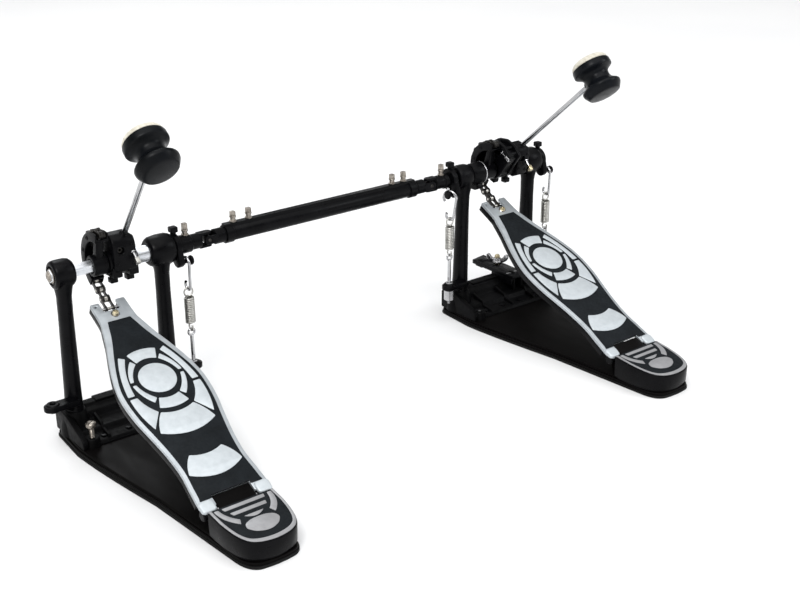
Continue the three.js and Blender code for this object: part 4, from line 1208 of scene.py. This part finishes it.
def spring_hook(name, side, here, body):
    """An S of thick wire from the collar's pin down to the spring's upper ring."""
    hook = fine(f"{name}_spring_hook_{side}", body, here, "bright_steel")
    thick, bend, facing = (1.8, 9.0, 25) if side == "left" else (1.75, 6.8, 0)
    pin_top = AXLE_HEIGHT + HANGER[1] + 2.6
    crown = pin_top + thick - bend
    upper = [(0, -bend * math.cos(a), crown + bend * math.sin(a))
             for a in sweep(math.pi + 0.65, -(math.pi + 0.95), 16)]
    lower = [(0, -5.4 * math.cos(a), HOOK_BEND + 5.4 * math.sin(a)) for a in sweep(-0.15, -3.6, 14)]
    hook.add(wire(flow(upper + lower, 3), thick, 14), STEEL, turn(facing, "Z"))
    hook.done()


def spring_coil(name, side, here):
    """A close coil between a lower loop and an upper ring."""
    coil = Piece(f"{name}_spring_{side}_fine", None, here, "spring_steel", [f"{name}_spring_{side}"])
    radius, thick, turns, steps = 5.1, 1.09, 14, 20
    loop = [(0.0, 4.2 * math.sin(a), LOWER_LOOP - 4.2 * math.cos(a)) for a in sweep(-2.4, 4.9, 14)]
    winding = []
    for k in range(turns * steps + 1):
        a = math.pi / 2 + 2 * math.pi * k / steps
        z = COIL_LOW + (COIL_HIGH - COIL_LOW) * k / (turns * steps)
        winding.append((radius * math.cos(a), radius * math.sin(a), z))
    ring = [(5.4 * math.cos(a), 0.0, UPPER_RING + 5.4 * math.sin(a))
            for a in sweep(-1.3, 2 * math.pi - 0.5, 22)]
    lead_in = flow([loop[-1], (1.2, 3.9, 104.2), (1.4, 4.9, 105.3), winding[0]], 4)[1:-1]
    lead_out = flow([winding[-1], (-2.0, 4.7, 137.9), (-1.0, 2.4, 138.4), ring[0]], 4)[1:-1]
    coil.add(wire(loop + lead_in + winding + lead_out + ring, thick, 10), SPRING)
    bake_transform(coil.done(60))


def spring_rod(name, side, here, body):
    """The threaded rod through the lug, with its eye, washer, knurled nut and hexagon nut."""
    stem = fine(f"{name}_spring_rod_{side}", body, here, "bright_steel")
    stem.add(thread(2.3, 28, 66, 0.9), STEEL)
    stem.add(rod(2.3, 65.5, ROD_EYE - 3.4, 0.3, 24), STEEL)
    eye = [(3.9 * math.cos(a), 0.0, ROD_EYE + 3.9 * math.sin(a)) for a in sweep(0, 2 * math.pi, 28)[:-1]]
    stem.add(wire(eye, 1.4, 12, cyclic=True), STEEL)
    stem.add(knurled(6.8, 33.4, 47.8), STEEL)
    stem.add(moved(hex_bolt(8, 3.2), move(z=55.3)), STEEL)
    stem.add(ring_of(2.1, 4.6, 47.2, 48.4), STEEL)
    stem.done()


def spring_set(name, side, space, base_body, hook_body):
    here = space @ move(SPRING_X[side], SPRING_Y)
    spring_hook(name, side, here, hook_body)
    spring_coil(name, side, here)
    spring_rod(name, side, here, base_body)


# ---------------------------------------------------------------- drive line
TUBE_START, TUBE_END = 157.0, 436.0
UNIVERSAL = {"slave": 134.0, "main": 461.0}


def yoke(piece, centre, toward, hub_end, spin):
    """A fork: a turned hub and two rounded ears on either side of the cross."""
    near = centre - toward * 9
    x0, x1 = sorted((near, hub_end))
    boss = [(x0, 0), (x0, 8.2), (x0 + 0.8, 9), (x1 - 0.8, 9), (x1, 8.2), (x1, 0)]
    piece.add(lathe(boss, 48), SATIN, ON_AXLE)
    root, tip, half = near - toward * 2, centre + toward * 1.2, 4.9
    ear = [(root, -half), (tip, -half)]
    ear += arc(tip, 0, half, -90, 90 if toward > 0 else -270, 16)[1:]
    ear += [(root, half)]
    hole = circle(2.5, centre, 0, 20)
    for side in (1, -1):
        piece.add(slab(ear, *span(side, 5.6, 9.0), 0.7, [hole], 2), SATIN, AXLE @ turn(spin, "X"))


def cross(name, body, space, centre):
    whole = fine(f"{name}_universal_cross", body, space, "chain_steel")
    whole.add(block((centre - 3.8, -3.8, -3.8), (centre + 3.8, 3.8, 3.8), 1.0), CHAIN, AXLE)
    for spin in (0, 90):
        whole.add(rod(2.4, -9.1, 9.1, 0.5, 28), CHAIN, AXLE @ move(centre) @ turn(spin, "X"))
    whole.done()


def slave_yoke(space, body):
    """The fork on the slave axle's end, in a ribbed sleeve with its key screw."""
    first = fine("slave_axle_yoke", body, space, "satin_black")
    yoke(first, UNIVERSAL["slave"], 1, 107, 0)
    sleeve = [(96.5, 9.7), (96.5, 10.4), (97.2, 11.0), (111.4, 10.6), (112.8, 9.4), (112.8, 5.9),
              (100.3, 5.9), (100.3, 9.7)]
    first.add(lathe(sleeve, 48, closed=True), SATIN, ON_AXLE)
    key_screw(first, AXLE @ move(107, 0, 9.6), 15)
    first.done()


def drive_rod(node, body, space, joint, toward, hub_end, start, stop):
    """A hexagon rod with the fork of a universal joint on its outer end."""
    whole = fine(node, body, space, "satin_black")
    yoke(whole, joint, toward, hub_end, 90)
    whole.add(slab(hexagon(6.6), start, stop, 0.3), SATIN, ON_AXLE)
    whole.done()


def drive_tube(space, body):
    """The tube with its rib on top, an end ring at both ends and four key screws."""
    tube = fine("drive_tube", body, space, "satin_black")
    rib = [(4.3, 9.8), (4.3, 12.2), (3.8, 12.6), (-3.8, 12.6), (-4.3, 12.2), (-4.3, 9.8)]
    section = arc(0, 0, 9.5, 117, 423, 56) + rib
    bore = circle(7.5, steps=48)
    tube.add(slab(section, TUBE_START, TUBE_END, 0.5, [bore], 1), SATIN, AXLE @ ACROSS)
    for x0, x1 in ((TUBE_START - 0.4, TUBE_START + 10), (TUBE_END - 10, TUBE_END + 0.4)):
        tube.add(ring_of(9.2, 10.9, x0, x1, 0.7), SATIN, ON_AXLE)
    for x in (170, 191, 402, 420):
        key_screw(tube, AXLE @ move(x, 0, 12.4), 13)
    tube.done()


def drive_axle(space, body):
    """The far fork and the hexagon axle that carries the drive hub."""
    end = fine("drive_axle", body, space, "satin_black")
    yoke(end, UNIVERSAL["main"], -1, 490, 0)
    end.add(ring_of(HEX_RADIUS, 10.2, 484, 489.8, 0.8), SATIN, ON_AXLE)
    end.add(slab(hexagon(HEX_RADIUS), 488, 538, 0.4), SATIN, ON_AXLE)
    key_screw(end, AXLE @ move(482, 0, 8.4), 15)
    end.done()


def drive_line(space, near_body, far_body):
    slave_yoke(space, near_body)
    cross("slave", near_body, space, UNIVERSAL["slave"])
    cross("drive", far_body, space, UNIVERSAL["main"])
    drive_rod("drive_rod_fixed", near_body, space, UNIVERSAL["slave"], -1, 157, 156, TUBE_START + 45)
    drive_tube(space, near_body)
    drive_rod("drive_rod_sliding", far_body, space, UNIVERSAL["main"], 1, 438, 262, 444)
    drive_axle(space, far_body)


def drive_hub(space):
    """The hub beside the main cam, with a bright ring in its groove and a set screw on a lug."""
    whole = fine("drive_hub", "drive_body", space, "satin_black")
    profile = [(-31.5, 9.0), (-31.5, 12.4), (-30.4, 13.6), (-28, 14.2), (-14, 14.6), (-12.6, 14.6),
               (-12.2, 13.6), (-11.4, 13.6), (-11.0, 14.6), (-9.6, 14.2), (-9.3, 13.4), (-9.3, 6.0),
               (-23, 6.0), (-23.4, 9.0)]
    whole.add(lathe(profile, 64, closed=True), SATIN, ON_AXLE)
    whole.add(ring_of(11.0, 14.7, -12.5, -11.1, 0.3, 64), STEEL, ON_AXLE)
    whole.add(block((-24.4, -4.4, -22), (-16.6, 4.4, -12), 1.2, 3), SATIN, AXLE)
    square_screw(whole, AXLE @ move(-20.5) @ turn(155, "X") @ move(0, 0, 12))
    whole.done()


# ---------------------------------------------------------------- hoop clamp
CLAMP_X, CLAMP_HALF, CLAMP_FRONT = 45.0, 17.0, 63.0
CLAMP_PIVOT_Y, CLAMP_PIVOT_Z, CLAMP_SCREW_Y = -14.0, 44.0, 24.0
CLAMP_LEFT, CLAMP_RIGHT = CLAMP_X - CLAMP_HALF, CLAMP_X + CLAMP_HALF
WING_TURN = -54


def lower_jaw(piece):
    """The fixed jaw on the casting, with its rubber pad, the pivot's ears and the stud."""
    left, right = CLAMP_LEFT, CLAMP_RIGHT
    jaw = soften([(left, 14), (right, 14), (right, 43), (right - 5, 48), (left + 5, 48), (left, 43)], 1.2)
    piece.add(slab(jaw, PLATE_TOP, 18.6, 1.0, rounds=2), CAST)
    pad = soften([(left + 3, 32), (right - 3, 32), (right - 3, 44), (left + 3, 44)], 2.0)
    piece.add(slab(pad, 18.2, 19.0, 0.3), RUBBER)
    ear = soften([(-21, 20), (-5, 26), (-9, 48), (-19, 48)], 3.0, steps=6)
    for side in (-1, 1):
        x0, x1 = span(side, CLAMP_HALF - 12, CLAMP_HALF - 8)
        piece.add(slab(ear, CLAMP_X + x0, CLAMP_X + x1, 0.8, rounds=2), CAST, SIDE)
    stud = move(CLAMP_X, CLAMP_SCREW_Y)
    piece.add(thread(3.0, 17, 56, 1.2, 28), BRASS, stud)
    dome = [(55.2, 0), (55.2, 3.9), (57.2, 3.9), (58.8, 3.2), (59.8, 1.8), (60.1, 0)]
    piece.add(lathe(soften(dome, 0.6), 32), BRASS, stud)


def upper_jaw(space):
    """The rocking jaw: a slotted plate with side skirts, a ridge under its lip and its pivot pin."""
    upper = fine("clamp_jaw", "clamp_jaw_body", space, "satin_black")
    left, right, front, x = CLAMP_LEFT, CLAMP_RIGHT, CLAMP_FRONT, CLAMP_X
    top, tip = CLAMP_PIVOT_Z + 2, right - 8.5
    plan = soften([(left, -26), (right, -26), (right, -14), (tip, -4), (tip, front),
                   (left, front - 5)], 1.2)
    slot = soften([(x - 4, 18), (x + 4, 18), (x + 4, 30), (x - 4, 30)], 3.6, steps=6)
    upper.add(slab(plan, top - 6, top, 1.0, [slot], 2), SATIN)
    upper.add(block((left + 1, 38, 38.4), (tip - 1, 52, 41), 0.8), SATIN)
    for x0, y0 in ((left, -24), (tip - 3, 2)):
        upper.add(block((x0, y0, 31), (x0 + 3, 17, 41), 0.8), SATIN)
    boss = soften([(left + 5, 42), (tip - 5, 42), (tip - 5, 52), (left + 5, 52)], 1.5)
    upper.add(slab(boss, top - 0.4, top + 0.7, 0.4), SATIN)
    pin = rod(2.5, left + 0.5, right - 0.5, 0.5, 28)
    upper.add(pin, STEEL, move(0, CLAMP_PIVOT_Y, CLAMP_PIVOT_Z) @ ALONG_X)
    upper.done()


def wing_nut(space):
    here = space @ move(CLAMP_X, CLAMP_SCREW_Y, CLAMP_PIVOT_Z + 3.6)
    nut = fine("clamp_wing_nut", "wing_nut_body", here, "bright_steel")
    cone = [(0, 3.2), (0, 6.8), (2.4, 6.8), (3.2, 5.8), (7.0, 4.9), (7.4, 3.2)]
    nut.add(lathe(soften(cone, 0.5), 40, closed=True), STEEL)
    wing = [(3, 0.6), (9.4, 0.8), (13.6, 3.8), (16.2, 7.6), (15.8, 11.4), (12.6, 13.0), (9.8, 11.0),
            (7.4, 7.0), (3, 5.8)]
    upright = turn(WING_TURN, "Z") @ turn(90, "X")
    outline = soften(wing, 2.2, steps=6)
    nut.add(slab(outline, -2.3, 2.3, 1.3, rounds=3), STEEL, upright, turn(180, "Z") @ upright)
    nut.done()


# ---------------------------------------------------------------- whole pedals
BEATERS = {"slave": {"x": 29.3, "lean": 37.8, "reach": 166.0},
           "main": {"x": 48.0, "lean": 49.0, "reach": 203.0}}


def pedal(name):
    space, base_body, axle_body = pedal_space(name), f"{name}_base", f"{name}_axle_body"
    base(name, base_body, space)
    front = casting(name, base_body, space)
    if name == "main":
        lower_jaw(front)
    front.done()
    if name == "main":
        upper_jaw(space)
        wing_nut(space)
    for side in POST_X:
        post(name, side, base_body, space)
    heel_block(name, base_body, space)
    heel_inlay(name, base_body, space)
    hinge_pin(name, base_body, space)
    footboard(name, f"{name}_footboard_body", space)
    chain(name, space)
    cam(name, axle_body, space)
    axle(name, axle_body, space)
    hub(name, axle_body, space, BEATERS[name])
    spring_collar(f"{name}_spring_collar_right", axle_body, space, "right", SLEEVE_RADIUS, 89)
    beater(name, space, BEATERS[name])
    spring_set(name, "right", space, base_body, f"{name}_hook_right_body")


pedal("slave")
pedal("main")
spring_set("main", "left", pedal_space("main"), "main_base", "main_hook_left_body")
spring_collar("drive_spring_collar", "drive_body", pedal_space("main"), "left", HEX_RADIUS, -61)
drive_hub(pedal_space("main"))
drive_line(pedal_space("slave"), "slave_axle_body", "drive_body")


# ---------------------------------------------------------------- stage, light and camera
def stage():
    bm = bmesh.new()
    bmesh.ops.create_grid(bm, x_segments=8, y_segments=8, size=60)
    mesh = bpy.data.meshes.new("floor")
    bm.to_mesh(mesh)
    bm.free()
    mesh.materials.append(pale_floor())
    floor = bpy.data.objects.new("floor", mesh)
    bpy.context.scene.collection.objects.link(floor)


def lamp(name, location, target, size, power, colour=(1, 1, 1)):
    data = bpy.data.lights.new(name, "AREA")
    data.shape, data.size, data.energy, data.color = "DISK", size, power, colour
    made = bpy.data.objects.new(name, data)
    made.location = location
    made.rotation_euler = (Vector(target) - Vector(location)).to_track_quat("-Z", "Y").to_euler()
    bpy.context.scene.collection.objects.link(made)


def light():
    world = bpy.data.worlds.new("studio")
    world.use_nodes = True
    nodes, links = world.node_tree.nodes, world.node_tree.links
    coordinates, split = nodes.new("ShaderNodeTexCoord"), nodes.new("ShaderNodeSeparateXYZ")
    ramp = nodes.new("ShaderNodeValToRGB")
    ramp.color_ramp.elements[0].position, ramp.color_ramp.elements[1].position = 0.22, 0.85
    for position in (0.34, 0.55):
        ramp.color_ramp.elements.new(position)
    for element, value in zip(ramp.color_ramp.elements, (0.95, 0.14, 0.22, 1.0)):
        element.color = (value, value, value, 1)
    links.new(coordinates.outputs["Generated"], split.inputs["Vector"])
    links.new(split.outputs["Z"], ramp.inputs["Fac"])
    links.new(ramp.outputs["Color"], nodes["Background"].inputs["Color"])
    nodes["Background"].inputs["Strength"].default_value = 0.9
    bpy.context.scene.world = world
    lamp("key", (-1.7, -1.3, 2.3), (0, 0, 0.1), 1.1, 34)
    lamp("fill", (2.0, -1.6, 1.8), (0, 0, 0.1), 1.3, 18, (0.94, 0.97, 1.0))
    lamp("rim", (0.3, 2.2, 2.0), (0, 0, 0.15), 1.2, 16, (0.95, 0.98, 1.0))
    sky = bpy.data.lights.new("sky", "SUN")
    sky.energy, sky.angle = 1.5, math.radians(70)
    made = bpy.data.objects.new("sky", sky)
    made.rotation_euler = (math.radians(18), math.radians(-12), 0)
    bpy.context.scene.collection.objects.link(made)


def camera():
    data = bpy.data.cameras.new("camera")
    data.sensor_width, data.lens = 36.0, 56.45
    data.clip_start, data.clip_end = 0.05, 60
    made = bpy.data.objects.new("camera", data)
    place = move(-0.8134, -1.0663, 0.6837)
    azimuth, elevation, roll = -37.76, 22.65, -0.34
    made.matrix_world = place @ turn(azimuth, "Z") @ turn(90 - elevation, "X") @ turn(roll, "Z")
    bpy.context.scene.collection.objects.link(made)
    bpy.context.scene.camera = made


stage()
light()
camera()
bpy.context.scene.view_settings.view_transform = "Standard"

bpy.context.view_layer.update()
